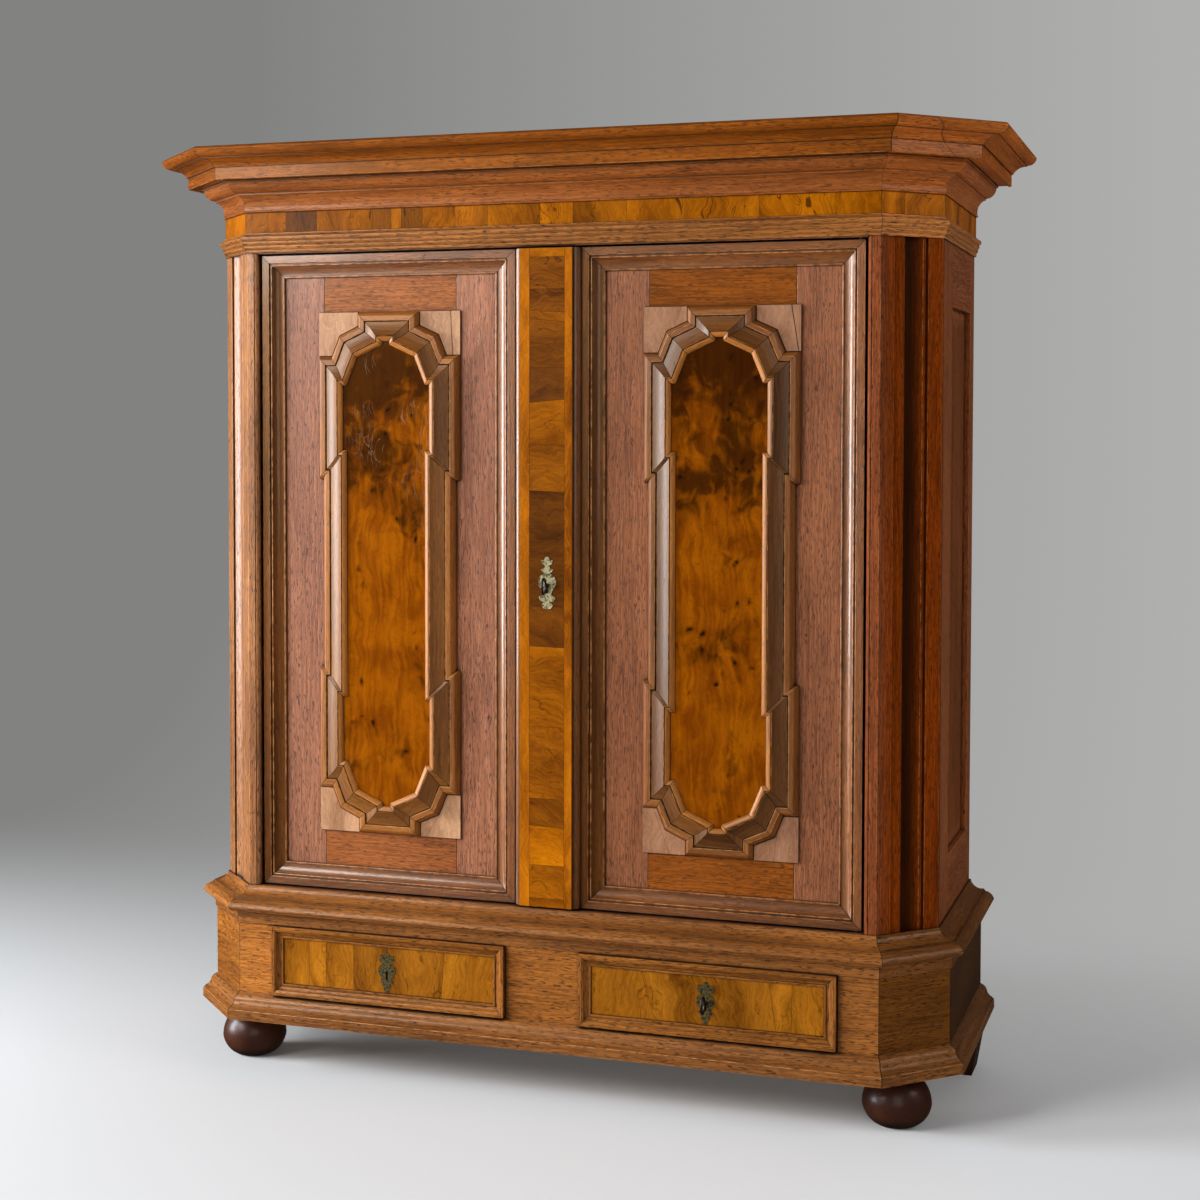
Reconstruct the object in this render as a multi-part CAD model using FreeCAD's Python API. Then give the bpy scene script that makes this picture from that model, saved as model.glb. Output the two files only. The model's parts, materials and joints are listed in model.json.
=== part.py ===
import FreeCAD, Part
import math
import os

os.makedirs("parts", exist_ok=True)

# Plan of the cabinet: X to the right, Y to the back, Z up, origin on the floor under the middle of the plan
body_width = 1672.0
body_depth = 590.0
chamfer = 111.0

# Heights of the tiers, from the floor up
foot_height = 117.0
plinth_height = 57.0
bay_height = 161.0
waist_height = 81.0
opening_height = 1443.0
head_height = 47.0
frieze_height = 46.0
bed_height = 70.0
crown_height = 66.0

# Feet: turned balls in front, tapered blocks at the rear
foot_diameter = 147.0
foot_belly = 45.0
foot_sole = 78.0
foot_neck = 84.0
foot_neck_height = 12.0
foot_dowel = 30.0
foot_dowel_length = 18.0
dowel_play = 0.1
front_foot_inset = 79.0
front_foot_setback = 81.0
rear_foot_top = 130.0
rear_foot_sole = 92.0
rear_foot_tenon = 40.0
rear_foot_inset = 16.0
rear_foot_setback = 105.0

# Base with the two drawers
base_reach = 29.0
base_board = 25.0
base_floor_board = 24.0
base_top_board = 23.0
plinth_reach = 61.0
plinth_band = 22.0
plinth_fillet = 4.0
waist_reach = 58.3
waist_fascia = 4.0
waist_fascia_height = 22.0
waist_undercut = 9.0
waist_fillet = 5.0
centre_block = 170.0
end_block = 86.0

# Carcass: corner posts, side frames, back, door opening
stile_face = 27.0
stile_depth = 50.0
stile_bead = 8.0
bead_quirk = 2.0
post_board = 32.0
flute_margin = 34.0
flute_quirk = 6.0
flute_ridge = 22.0
flute_cove = 46.0
flute_depth = 11.0
side_board = 30.0
side_stile = 121.0
side_back_stile = 60.0
side_top_rail = 177.0
side_bottom_rail = 149.0
side_panel_setback = 14.0
panel_tongue = 8.0
panel_groove = 10.0
panel_play = 0.25
panel_field_rise = 6.0
panel_bevel = 45.0
back_board = 20.0
back_board_count = 6
sill_height = 23.0
ceiling_board = 23.0

# Shelf and peg rail inside
shelf_drop = 290.0
shelf_board = 22.0
shelf_setback = 90.0
shelf_play = 1.0
bearer_width = 25.0
bearer_height = 35.0
peg_rail_height = 90.0
peg_rail_board = 22.0
peg_rail_margin = 90.0
peg_count = 7
peg_length = 95.0
peg_tenon = 16.0
peg_root = 26.0
peg_waist = 18.0
peg_head = 30.0
peg_head_length = 14.0
peg_side_count = 8

# Cornice
architrave_reach = 14.2
architrave_reveal = 2.5
architrave_foot = 4.0
architrave_nose = 16.0
architrave_reeds = 3
frieze_board = 22.0
veneer = 1.5
frieze_reach = 3.3
bed_reach = 53.0
bed_bead = 6.0
bed_ovolo = 24.0
bed_fillet = 4.0
crown_reach = 139.0
corona_reach = 83.0
corona_height = 25.0
crown_roll_height = 22.0
crown_roll_reach = 17.5
crown_ease = 6.0
drip_width = 7.0
drip_drop = 2.0
lid_ledge = 40.0
lid_seat = 32.0
lid_board = 18.0
lid_board_count = 3
lid_play = 1.0

# Doors
door_side_gap = 6.0
door_end_gap = 4.0
door_meeting_gap = 3.0
door_swing_setback = 10.0
band_height = 17.0
band_width = 17.0
frame_board = 28.0
door_moulding_width = 52.0
door_panel_board = 20.0
sight_lip = 5.0
quirk = 2.0
stop_gap = 2.0
stop_board = 20.0
stop_height = 44.0
stop_margin = 42.0
stop_lap = 20.0
stop_clear = 75.0
rail_joint_half = 161.0
panel_opening_half = 555.0

# Cushion frame on each door, as half sizes of its broken outline
cushion_half_width = 171.5
cushion_half_height = 587.5
cushion_waist_half = 161.5
cushion_waist_height = 211.5
shoulder_height = 489.7
shoulder_half = 140.0
knee_half = 121.0
knee_height = 535.7
neck_half = 75.7
neck_height = 556.3
cushion_width = 67.0
cushion_rise = 30.0
inner_bead = 13.0
outer_step = 20.0
outer_rise = 18.0
burl_rise = 22.0
spandrel_rise = 5.0

# Closing strip on the right door
strip_face = 122.0
strip_bead = 14.0
strip_proud = 20.0

# Pivots of the doors
pivot_inset = 10.0
pin_diameter = 10.0
pin_play = 0.05
pin_reach = 14.0
pin_seat_play = 0.3
plate_length = 54.0
plate_width = 32.0
plate_thick = 4.0
plate_margin = 2.0

# Bolts inside the left door
bolt_width = 16.0
bolt_thick = 8.0
bolt_length = 220.0
bolt_setback = 5.0
bolt_inset = 32.0
bolt_plate = 2.2
bolt_plate_width = 40.0
bolt_plate_length = 150.0
bolt_plate_offset = 45.0
staple_thick = 3.0
staple_width = 14.0
bolt_knob = 14.0
bolt_knob_length = 18.0
iron_play = 0.3

# Locks, keys and escutcheons
keyhole_x = 4.0
keyhole_height = 704.0
key_shaft = 7.0
key_bow_height = 39.0
key_bow_depth = 30.0
key_bow_wire = 5.0
key_collar = 11.0
key_collar_length = 4.0
key_bit_drop = 13.0
key_bit_length = 10.0
key_bit_thick = 4.0
key_bore = 12.0
key_slot_drop = 18.0
lock_wall = 2.5
lock_depth = 26.0
lock_edge = 3.0
door_lock_width = 132.0
door_lock_drop = 40.0
door_lock_height = 95.0
lock_bolt_height = 18.0
lock_bolt_thick = 8.0
lock_bolt_length = 92.0
key_sweep_play = 3.0
plate_metal = 1.5
door_plate_width = 39.0
door_plate_height = 115.0
drawer_plate_width = 41.0
drawer_plate_height = 92.0
plate_rise = 6.0

# Drawers
drawer_gap = 1.5
drawer_front_board = 22.0
drawer_moulding_width = 27.0
drawer_moulding_rise = 12.5
drawer_band = 7.0
drawer_side_board = 14.0
drawer_back_board = 12.0
drawer_bottom_board = 8.0
drawer_bottom_lift = 6.0
drawer_box_inset = 6.0
drawer_box_depth = 470.0
drawer_side_drop = 20.0
runner_width = 28.0
runner_play = 0.3
guide_width = 20.0
guide_height = 50.0
guide_play = 1.0
kicker_play = 1.0
drawer_lock_width = 80.0
drawer_lock_drop = 20.0
drawer_lock_top_gap = 5.0
drawer_bolt_width = 30.0
drawer_bolt_thick = 6.0
drawer_key_drop = 5.0

# Places worked out from the sizes above
half = body_width / 2
corner_x = half - chamfer
front_y = (crown_reach - body_depth) / 2
back_y = front_y + body_depth
z_base = foot_height
z_bay = z_base + plinth_height
z_waist = z_bay + bay_height
z_sill = z_waist + waist_height
z_deck = z_sill - sill_height
z_base_top = z_deck - base_top_board
z_head = z_sill + opening_height
z_frieze = z_head + head_height
z_bed = z_frieze + frieze_height
z_crown = z_bed + bed_height
z_lid = z_crown + lid_seat

opening_half = corner_x - stile_face
door_edge = opening_half - door_side_gap
door_low = z_sill + door_end_gap
door_high = z_head - door_end_gap
door_middle = (door_low + door_high) / 2
band_y = front_y + door_swing_setback
ground_y = band_y + band_height
door_back = ground_y + frame_board
rail_back = door_back + stop_gap
strip_half = strip_face / 2
strip_reach = strip_half + strip_bead
strip_y = band_y - strip_proud
panel_x = (strip_reach + door_edge) / 2
left_free_edge = -strip_reach - door_meeting_gap
pivot_x = door_edge - pivot_inset
pivot_y = band_y + pivot_inset

base_face_y = front_y - base_reach
base_corner_x = corner_x + base_reach * math.tan(math.radians(22.5))
drawer_near = centre_block / 2
drawer_far = base_corner_x - end_block
drawer_x = (drawer_near + drawer_far) / 2
drawer_low = z_bay + 2 * runner_play + drawer_gap
drawer_high = z_waist - drawer_gap
drawer_face_y = base_face_y
drawer_back_y = drawer_face_y + drawer_front_board
drawer_key_z = (drawer_low + drawer_high) / 2 - drawer_key_drop
door_key_z = door_low + keyhole_height


def vec(x, y, z=0.0):
    return FreeCAD.Vector(x, y, z)


def board(x0, x1, y0, y1, z0, z1):
    low = vec(min(x0, x1), min(y0, y1), min(z0, z1))
    return Part.makeBox(abs(x1 - x0), abs(y1 - y0), abs(z1 - z0), low)


def outline_wire(points, origin, across, up):
    # A point is (u, v) or (u, v, bow); bow lifts the next stretch to the right, as a share of its chord
    spots = [origin + across * p[0] + up * p[1] for p in points]
    normal = across.cross(up)
    edges = []
    for i, start in enumerate(spots):
        end = spots[(i + 1) % len(spots)]
        bow = points[i][2] if len(points[i]) > 2 else 0.0
        if bow:
            chord = end - start
            middle = (start + end) * 0.5 + chord.cross(normal) * bow
            edges.append(Part.Arc(start, middle, end).toShape())
        else:
            edges.append(Part.LineSegment(start, end).toShape())
    return Part.Wire(edges)


def outline_face(points, origin, across, up):
    return Part.Face(outline_wire(points, origin, across, up))


def slab(points, z0, z1):
    face = outline_face(points, vec(0, 0, z0), vec(1, 0), vec(0, 1))
    return face.extrude(vec(0, 0, z1 - z0))


def front_slab(points, y_back, y_front):
    face = outline_face(points, vec(0, y_back, 0), vec(1, 0), vec(0, 0, 1))
    return face.extrude(vec(0, y_front - y_back, 0))


def rod(radius, start, end):
    axis = end - start
    return Part.makeCylinder(radius, axis.Length, start, axis)


def unit(a, b):
    step = b - a
    return step * (1.0 / step.Length)


def right_of(direction):
    return vec(direction.y, -direction.x)


def mitre_steps(path, closed):
    # How far each corner of the path moves for one unit of offset to its right
    count = len(path)
    steps = []
    for i in range(count):
        first = i == 0 and not closed
        last = i == count - 1 and not closed
        ahead = right_of(unit(path[i - 1], path[i]) if last else unit(path[i], path[(i + 1) % count]))
        behind = ahead if first else right_of(unit(path[i - 1], path[i]))
        steps.append((behind + ahead) * (1.0 / (1.0 + behind.dot(ahead))))
    return steps


def offset_path(path, closed, offset):
    return [p + m * offset for p, m in zip(path, mitre_steps(path, closed))]


def mitred_lengths(path, closed, section):
    # Straight lengths of one section (offset to the right of the path, height), mitred where they meet
    count = len(path)
    steps = mitre_steps(path, closed)
    offsets = [p[0] for p in section]
    heights = [p[1] for p in section]
    low, high = min(offsets) - 1.0, max(offsets) + 1.0
    spare = 1.2 * max(abs(low), abs(high))
    lengths = []
    for i in range(count if closed else count - 1):
        a, b = path[i], path[(i + 1) % count]
        along = unit(a, b)
        face = outline_face(section, a - along * spare, right_of(along), vec(0, 0, 1))
        bar = face.extrude(along * ((b - a).Length + 2 * spare))
        step_a, step_b = steps[i], steps[(i + 1) % count]
        corners = [a + step_a * low, a + step_a * high, b + step_b * high, b + step_b * low]
        wedge = slab([(c.x, c.y) for c in corners], min(heights) - 1.0, max(heights) + 1.0)
        lengths.append(bar.common(wedge).Solids[0])
    return lengths


def on_front(shapes, y):
    # Turns work laid flat in X and Y into work that stands on a front plane, its height towards the viewer
    place = FreeCAD.Placement(vec(0, y, 0), FreeCAD.Rotation(vec(1, 0, 0), 90))
    standing = []
    for shape in shapes:
        copy = shape.copy()
        copy.Placement = place
        standing.append(copy)
    return standing


def mirrored(shape):
    return shape.mirror(vec(0, 0, 0), vec(1, 0, 0))


def both_sides(shape):
    return [mirrored(shape), shape]


def plan_path():
    return [vec(-half, back_y), vec(-half, front_y + chamfer), vec(-corner_x, front_y),
            vec(corner_x, front_y), vec(half, front_y + chamfer), vec(half, back_y)]


def plan_outline(offset, rear_y):
    spots = offset_path(plan_path(), False, offset)
    spots[0].y = rear_y
    spots[-1].y = rear_y
    return [(p.x, p.y) for p in spots]


def around_plan(section):
    return mitred_lengths(plan_path(), False, section)


def bar_section(offset0, offset1, z0, z1):
    return [(offset0, z0), (offset1, z0), (offset1, z1), (offset0, z1)]


def turned(profile, x, y, z):
    # Revolves a half profile of (radius, height) about an upright axis
    face = outline_face(profile, vec(x, y, z), vec(1, 0), vec(0, 0, 1))
    return face.revolve(vec(x, y, z), vec(0, 0, 1), 360)


def export(node, shapes):
    Part.makeCompound(shapes).exportStep("parts/" + node + ".step")


# Feet, each with a dowel or a tenon into the floor of the base

front_spot = vec(half - front_foot_inset, front_y + front_foot_setback)
rear_spot = vec(half - rear_foot_inset, back_y - rear_foot_setback)
dowel_top = foot_height + foot_dowel_length


def ball_foot(spot):
    neck_low = foot_height - foot_neck_height
    profile = [(0, 0), (foot_sole / 2, 0, 0.14), (foot_diameter / 2, foot_belly, 0.12),
               (foot_neck / 2, neck_low), (foot_neck / 2, foot_height), (foot_dowel / 2, foot_height),
               (foot_dowel / 2, dowel_top), (0, dowel_top)]
    return turned(profile, spot.x, spot.y, 0)


def square_post(spot, width, z0, z1):
    reach = width / 2
    return board(spot.x - reach, spot.x + reach, spot.y - reach, spot.y + reach, z0, z1)


def polygon_ring(spot, width, sides, z):
    # Regular outline of that width across its flats
    radius = width / 2 / math.cos(math.pi / sides)
    turns = [math.pi * (2 * i + 1) / sides for i in range(sides)]
    corners = [vec(spot.x + radius * math.cos(t), spot.y + radius * math.sin(t), z) for t in turns]
    return Part.makePolygon(corners + corners[:1])


def block_foot(spot):
    rings = [polygon_ring(spot, rear_foot_sole, 4, 0), polygon_ring(spot, rear_foot_top, 4, foot_height)]
    block = Part.makeLoft(rings, True, True)
    return block.fuse(square_post(spot, rear_foot_tenon, foot_height, dowel_top))


export("ball_feet", both_sides(ball_foot(front_spot)) + both_sides(block_foot(rear_spot)))

# Base: floor, boards round the plan, front rails and blocks, deck

base_inner = base_reach - base_board
rail_inner_y = front_y - base_inner
z_floor = z_base + base_floor_board

hole_top = vec(front_spot.x, front_spot.y, dowel_top + dowel_play)
dowel_hole = rod(foot_dowel / 2 + dowel_play, vec(front_spot.x, front_spot.y, z_base - 1), hole_top)
mortise = square_post(rear_spot, rear_foot_tenon + 2 * dowel_play, z_base - 1, dowel_top + dowel_play)
base_floor = slab(plan_outline(base_inner, back_y - back_board), z_base, z_floor)
for seat in both_sides(dowel_hole) + both_sides(mortise):
    base_floor = base_floor.cut(seat)
export("base_floor", [base_floor])

base_ring = around_plan(bar_section(base_inner, base_reach, z_base, z_base_top))
export("base_end_boards", [base_ring[i] for i in (0, 1, 3, 4)])

low_rail = around_plan(bar_section(base_inner, base_reach, z_base, z_bay))[2]
top_rail = around_plan(bar_section(base_inner, base_reach, z_waist, z_base_top))[2]
front_run = around_plan(bar_section(base_inner, base_reach, z_bay, z_waist))[2]
end_cut = board(drawer_far, half + base_reach, base_face_y, rail_inner_y, z_bay, z_waist)
middle_block = board(-drawer_near, drawer_near, base_face_y, rail_inner_y, z_bay, z_waist)
end_blocks = [front_run.common(cut).Solids[0] for cut in both_sides(end_cut)]
export("base_front_frame", [low_rail, top_rail, middle_block] + end_blocks)

export("base_deck", [slab(plan_outline(base_reach, back_y), z_base_top, z_deck)])

plinth_lip = plinth_reach - plinth_fillet
plinth_root = base_reach + plinth_fillet / 2
z_ogee = z_base + plinth_band + plinth_fillet
ogee_middle = ((plinth_lip + plinth_root) / 2, (z_ogee + z_bay) / 2)
export("plinth_moulding", around_plan([
    (base_reach, z_base), (plinth_reach, z_base), (plinth_reach, z_base + plinth_band),
    (plinth_lip, z_base + plinth_band + plinth_fillet / 2), (plinth_lip, z_ogee, -0.15),
    ogee_middle + (0.13,), (plinth_root, z_bay - plinth_fillet / 2), (base_reach, z_bay)]))

fascia = base_reach + waist_fascia
z_under = z_waist + waist_fascia_height
z_nose = z_under + waist_undercut
waist_step = waist_fillet / 2
export("waist_moulding", around_plan([
    (base_reach, z_waist), (fascia, z_waist), (fascia, z_under, -0.16),
    (waist_reach - waist_fillet, z_nose), (waist_reach - waist_fillet, z_nose + waist_step, 0.18),
    (waist_reach, z_nose + waist_fillet + waist_step, 0.16), (fascia + waist_fillet, z_deck - waist_step),
    (fascia + waist_fillet, z_deck), (fascia + waist_step, z_deck),
    (fascia + waist_step, z_deck + waist_step), (fascia, z_deck + waist_step, -0.19),
    (waist_fillet, z_sill - waist_step), (waist_fillet, z_sill), (0, z_sill), (0, z_deck),
    (base_reach, z_deck)]))

# Corner posts, with flutes down the chamfer and a bead beside the door

inner_line = corner_x - post_board * math.sqrt(2)
post_end_y = front_y + half - side_board - inner_line
side_inner = half - side_board


def chamfer_spot(along, depth, bow=0.0):
    diagonal = math.sqrt(0.5)
    return (corner_x + (along - depth) * diagonal, front_y + (along + depth) * diagonal, bow)


def right_post():
    bead_end = opening_half + stile_bead
    ridge = flute_margin + flute_quirk
    cove = ridge + flute_ridge
    fillet = cove + flute_cove
    flutes = [chamfer_spot(0, 0), chamfer_spot(flute_margin, 0),
              chamfer_spot(flute_margin + flute_quirk / 2, flute_quirk / 2),
              chamfer_spot(ridge, flute_quirk / 2, 0.1),
              chamfer_spot(cove, flute_quirk / 2), chamfer_spot(cove + flute_quirk / 4, flute_depth, -0.11),
              chamfer_spot(fillet, flute_quirk / 2), chamfer_spot(fillet + flute_quirk, flute_quirk / 2),
              chamfer_spot(fillet + flute_quirk, flute_quirk),
              chamfer_spot(fillet + 2 * flute_quirk, flute_quirk), chamfer_spot(fillet + 2 * flute_quirk, 0)]
    section = [(opening_half, front_y + stile_depth), (opening_half, front_y + stile_bead, 0.2),
               (bead_end, front_y), (bead_end, front_y + bead_quirk),
               (bead_end + bead_quirk, front_y + bead_quirk), (bead_end + bead_quirk, front_y)]
    section += flutes
    section += [(half, front_y + chamfer), (half, post_end_y), (side_inner, post_end_y),
                (inner_line + stile_depth, front_y + stile_depth)]
    return slab(section, z_deck, z_frieze)


post = right_post()
export("left_corner_post", [mirrored(post)])
export("right_corner_post", [post])

# Sides: stiles, rails and a fielded panel held in grooves

panel_front_y = post_end_y + side_stile
panel_rear_y = back_y - side_back_stile
panel_low = z_deck + side_bottom_rail
panel_high = z_frieze - side_top_rail
tongue_outer = half - side_panel_setback
tongue_inner = tongue_outer - panel_tongue


def side_members():
    members = [board(side_inner, half, post_end_y, panel_front_y, z_deck, z_frieze),
               board(side_inner, half, panel_rear_y, back_y, z_deck, z_frieze),
               board(side_inner, half, panel_front_y, panel_rear_y, z_deck, panel_low),
               board(side_inner, half, panel_front_y, panel_rear_y, panel_high, z_frieze)]
    groove = board(tongue_inner - panel_play, tongue_outer + panel_play,
                   panel_front_y - panel_groove, panel_rear_y + panel_groove,
                   panel_low - panel_groove, panel_high + panel_groove)
    return [member.cut(groove) for member in members]


def rectangle_wire(x, y0, y1, z0, z1):
    return Part.makePolygon([vec(x, y0, z0), vec(x, y1, z0), vec(x, y1, z1), vec(x, y0, z1), vec(x, y0, z0)])


def side_panel():
    lap = panel_groove - panel_play
    tongue = board(tongue_inner, tongue_outer, panel_front_y - lap, panel_rear_y + lap,
                   panel_low - lap, panel_high + lap)
    foot_of_bevel = rectangle_wire(tongue_outer, panel_front_y + panel_play, panel_rear_y - panel_play,
                                   panel_low + panel_play, panel_high - panel_play)
    field = rectangle_wire(tongue_outer + panel_field_rise, panel_front_y + panel_bevel,
                           panel_rear_y - panel_bevel, panel_low + panel_bevel, panel_high - panel_bevel)
    return tongue.fuse(Part.makeLoft([foot_of_bevel, field], True, True)).removeSplitter()


members = side_members()
export("side_frames", [mirrored(m) for m in members] + members)
export("side_panels", both_sides(side_panel()))

# Back boards of the carcass and of the base

back_width = 2 * side_inner / back_board_count
back_face = back_y - back_board
back_boards = [board(-side_inner + i * back_width, -side_inner + (i + 1) * back_width, back_face, back_y,
                     z_deck, z_frieze) for i in range(back_board_count)]
base_back = board(-half - base_inner, half + base_inner, back_face, back_y, z_base, z_base_top)
export("back_boards", back_boards + [base_back])

# Sill and head of the door opening, with the sockets that the pivot pins stand in

plate_edge = pin_diameter / 2 + plate_margin
pin_hole = pin_diameter / 2 + pin_play
pocket_hole = pin_diameter / 2 + plate_margin / 2


def pivot_plate(side, z0, z1):
    return board(side * (pivot_x - plate_length + plate_edge), side * (pivot_x + plate_edge),
                 pivot_y - plate_edge, pivot_y - plate_edge + plate_width, z0, z1)


def pivot_rod(side, radius, z0, z1):
    return rod(radius, vec(side * pivot_x, pivot_y, min(z0, z1)), vec(side * pivot_x, pivot_y, max(z0, z1)))


sill = board(-opening_half, opening_half, front_y, rail_back, z_deck, z_sill)
head = board(-opening_half, opening_half, front_y, rail_back, z_head, z_frieze)
pin_low = door_low - door_end_gap - pin_reach
pin_high = door_high + door_end_gap + pin_reach
sockets = []
for side in (-1, 1):
    low_plate = pivot_plate(side, z_sill - plate_thick, z_sill)
    high_plate = pivot_plate(side, z_head, z_head + plate_thick)
    sill = sill.cut(low_plate).cut(pivot_rod(side, pocket_hole, pin_low - pin_seat_play, z_sill))
    head = head.cut(high_plate).cut(pivot_rod(side, pocket_hole, z_head, pin_high + pin_seat_play))
    sockets.append(low_plate.cut(pivot_rod(side, pin_hole, z_sill - plate_thick - 1, z_sill + 1)))
    sockets.append(high_plate.cut(pivot_rod(side, pin_hole, z_head - 1, z_head + plate_thick + 1)))

stop_low = door_high - stop_lap
door_stop = board(strip_reach + stop_clear, pivot_x - stop_margin, rail_back, rail_back + stop_board,
                  stop_low, stop_low + stop_height)
export("door_sill", [sill])
export("door_head", [head] + both_sides(door_stop))
export("pivot_sockets", sockets)

# Ceiling, hat shelf and peg rail


def inside_outline(y_near, play):
    near_x = inner_line + y_near - front_y - play
    wall_x = side_inner - play
    bend_y = post_end_y
    rear = back_face - play
    return [(-near_x, y_near), (near_x, y_near), (wall_x, bend_y), (wall_x, rear),
            (-wall_x, rear), (-wall_x, bend_y)]


z_ceiling = z_frieze - ceiling_board
export("ceiling_board", [slab(inside_outline(rail_back, 0), z_ceiling, z_frieze)])

z_shelf = z_ceiling - shelf_drop - shelf_board
bearer = board(side_inner - bearer_width, side_inner, post_end_y, back_face, z_shelf - bearer_height, z_shelf)
shelf = slab(inside_outline(front_y + shelf_setback, shelf_play), z_shelf, z_shelf + shelf_board)
export("hat_shelf", [shelf] + both_sides(bearer))

rail_face = back_face - peg_rail_board
rail_half = side_inner - peg_rail_margin
peg_rail = board(-rail_half, rail_half, rail_face, back_face, z_shelf - peg_rail_height, z_shelf)


def whittled(rings):
    # Flat-sided stick through rings of (width, distance in front of the rail)
    middle = vec(0, 0)
    return Part.makeLoft([polygon_ring(middle, width, peg_side_count, far) for width, far in rings], True, True)


def on_rail(shape, x):
    copy = shape.copy()
    copy.Placement = FreeCAD.Placement(vec(x, rail_face, z_shelf - peg_rail_height / 2),
                                       FreeCAD.Rotation(vec(1, 0, 0), 90))
    return copy


tenon = whittled([(peg_tenon, -peg_rail_board), (peg_tenon, 0)])
stick = whittled([(peg_root, 0), (peg_waist, peg_length - 2 * peg_head_length),
                  (peg_head, peg_length - peg_head_length), (peg_waist, peg_length)])
peg_step = 2 * rail_half / peg_count
pegs = []
for i in range(peg_count):
    x = -rail_half + (i + 0.5) * peg_step
    peg_rail = peg_rail.cut(on_rail(tenon, x))
    pegs.append(on_rail(stick.fuse(tenon), x))
export("peg_rail", [peg_rail] + pegs)

# Cornice: architrave, frieze with its veneer, bed moulding, crown and lid

z_arch = z_head + architrave_reveal
reed_rise = (z_frieze - z_arch - architrave_nose) / architrave_reeds
reed_reach = (architrave_reach - architrave_foot) / architrave_reeds
reeds = []
for i in range(architrave_reeds):
    reach = architrave_foot + i * reed_reach
    reeds += [(reach, z_arch + i * reed_rise, 0.12), (reach, z_arch + (i + 0.7) * reed_rise)]
z_nose_low = z_frieze - architrave_nose
export("architrave_moulding", around_plan([(0, z_arch)] + reeds + [
    (architrave_reach, z_nose_low, 0.2), (architrave_reach, z_nose_low + architrave_nose / 2, -0.18),
    (architrave_foot + 1, z_frieze - 2), (architrave_foot + 1, z_frieze), (0, z_frieze)]))

frieze_face = frieze_reach - veneer
frieze_inner = frieze_face - frieze_board
frieze_back = board(-half - frieze_inner, half + frieze_inner, back_face, back_y, z_frieze, z_lid)
frieze_ring = around_plan(bar_section(frieze_inner, frieze_face, z_frieze, z_crown))
export("frieze_boards", frieze_ring + [frieze_back])
export("frieze_veneer", around_plan(bar_section(frieze_face, frieze_reach, z_frieze, z_bed)))

z_cove = z_bed + bed_bead
z_ovolo = z_crown - bed_ovolo - bed_fillet
cove_top = bed_reach - bed_ovolo - bed_fillet
bead_reach = frieze_reach + bed_bead / 2
export("bed_moulding", around_plan([
    (frieze_face, z_bed), (bead_reach, z_bed, 0.3), (bead_reach, z_cove - bed_fillet / 4),
    (bead_reach, z_cove, -0.16), (cove_top - bed_fillet, z_ovolo - bed_fillet),
    (cove_top, z_ovolo - bed_fillet), (cove_top, z_ovolo, 0.2),
    (bed_reach - bed_fillet, z_crown - bed_fillet), (bed_reach, z_crown - bed_fillet),
    (bed_reach, z_crown), (frieze_face, z_crown)]))

z_corona = z_crown + corona_height
z_top = z_crown + crown_height
z_roll = z_top - crown_roll_height
roll_foot = crown_reach - crown_roll_reach
export("crown_moulding", around_plan([
    (frieze_inner, z_crown), (corona_reach - drip_width - drip_drop, z_crown),
    (corona_reach - drip_width, z_crown - drip_drop), (corona_reach, z_crown - drip_drop),
    (corona_reach, z_corona), (corona_reach + bed_fillet, z_corona),
    (corona_reach + bed_fillet, z_corona + bed_fillet / 2, -0.14),
    (roll_foot - bed_fillet, z_roll - bed_fillet / 2), (roll_foot - bed_fillet, z_roll),
    (roll_foot, z_roll, 0.17), (crown_reach, z_top - crown_ease, 0.12),
    (crown_reach - crown_ease, z_top), (lid_ledge, z_top), (lid_ledge, z_lid), (frieze_inner, z_lid)]))

lid_near = front_y - lid_ledge + lid_play
lid_step = (back_y - lid_near) / lid_board_count
lid = slab(plan_outline(lid_ledge - lid_play, back_y), z_lid, z_lid + lid_board)
lid_boards = []
for i in range(lid_board_count):
    strip = board(-half - crown_reach, half + crown_reach, lid_near + i * lid_step,
                  lid_near + (i + 1) * lid_step, z_lid, z_lid + lid_board)
    lid_boards.append(lid.common(strip).Solids[0])
export("top_boards", lid_boards)

# Doors: framed ground, moulded band round the edge, and the cushion frame with its broken outline

quadrant = [(cushion_waist_half, cushion_waist_height), (cushion_half_width, cushion_waist_height),
            (cushion_half_width, shoulder_height), (shoulder_half, shoulder_height), (knee_half, knee_height),
            (neck_half, neck_height), (neck_half, cushion_half_height)]
corner_outline = quadrant[2:] + [(cushion_half_width, cushion_half_height)]

lip = door_moulding_width - sight_lip
door_section = [
    (0, 0), (door_moulding_width, 0), (door_moulding_width - quirk, sight_lip), (lip, sight_lip),
    (lip - quirk / 2, sight_lip - quirk), (lip - quirk, sight_lip - quirk, -0.15),
    (band_width + 3 * quirk, band_height - quirk), (band_width + 2 * quirk, band_height - quirk),
    (band_width + 1.5 * quirk, band_height - 2 * quirk), (band_width + quirk / 2, band_height - 2 * quirk),
    (band_width, band_height), (0, band_height)]

crest = cushion_width - inner_bead
cushion_section = [
    (0, 0), (cushion_width, 0), (cushion_width, burl_rise + quirk / 2, 0.11),
    (crest + quirk, cushion_rise - quirk / 2), (crest + quirk / 2, cushion_rise - quirk),
    (crest, cushion_rise, -0.06), (outer_step + 1.5 * quirk, outer_rise - quirk),
    (outer_step + quirk, outer_rise - 2 * quirk), (outer_step, outer_rise),
    (outer_step / 2, outer_rise - quirk / 4, 0.1)]


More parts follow.
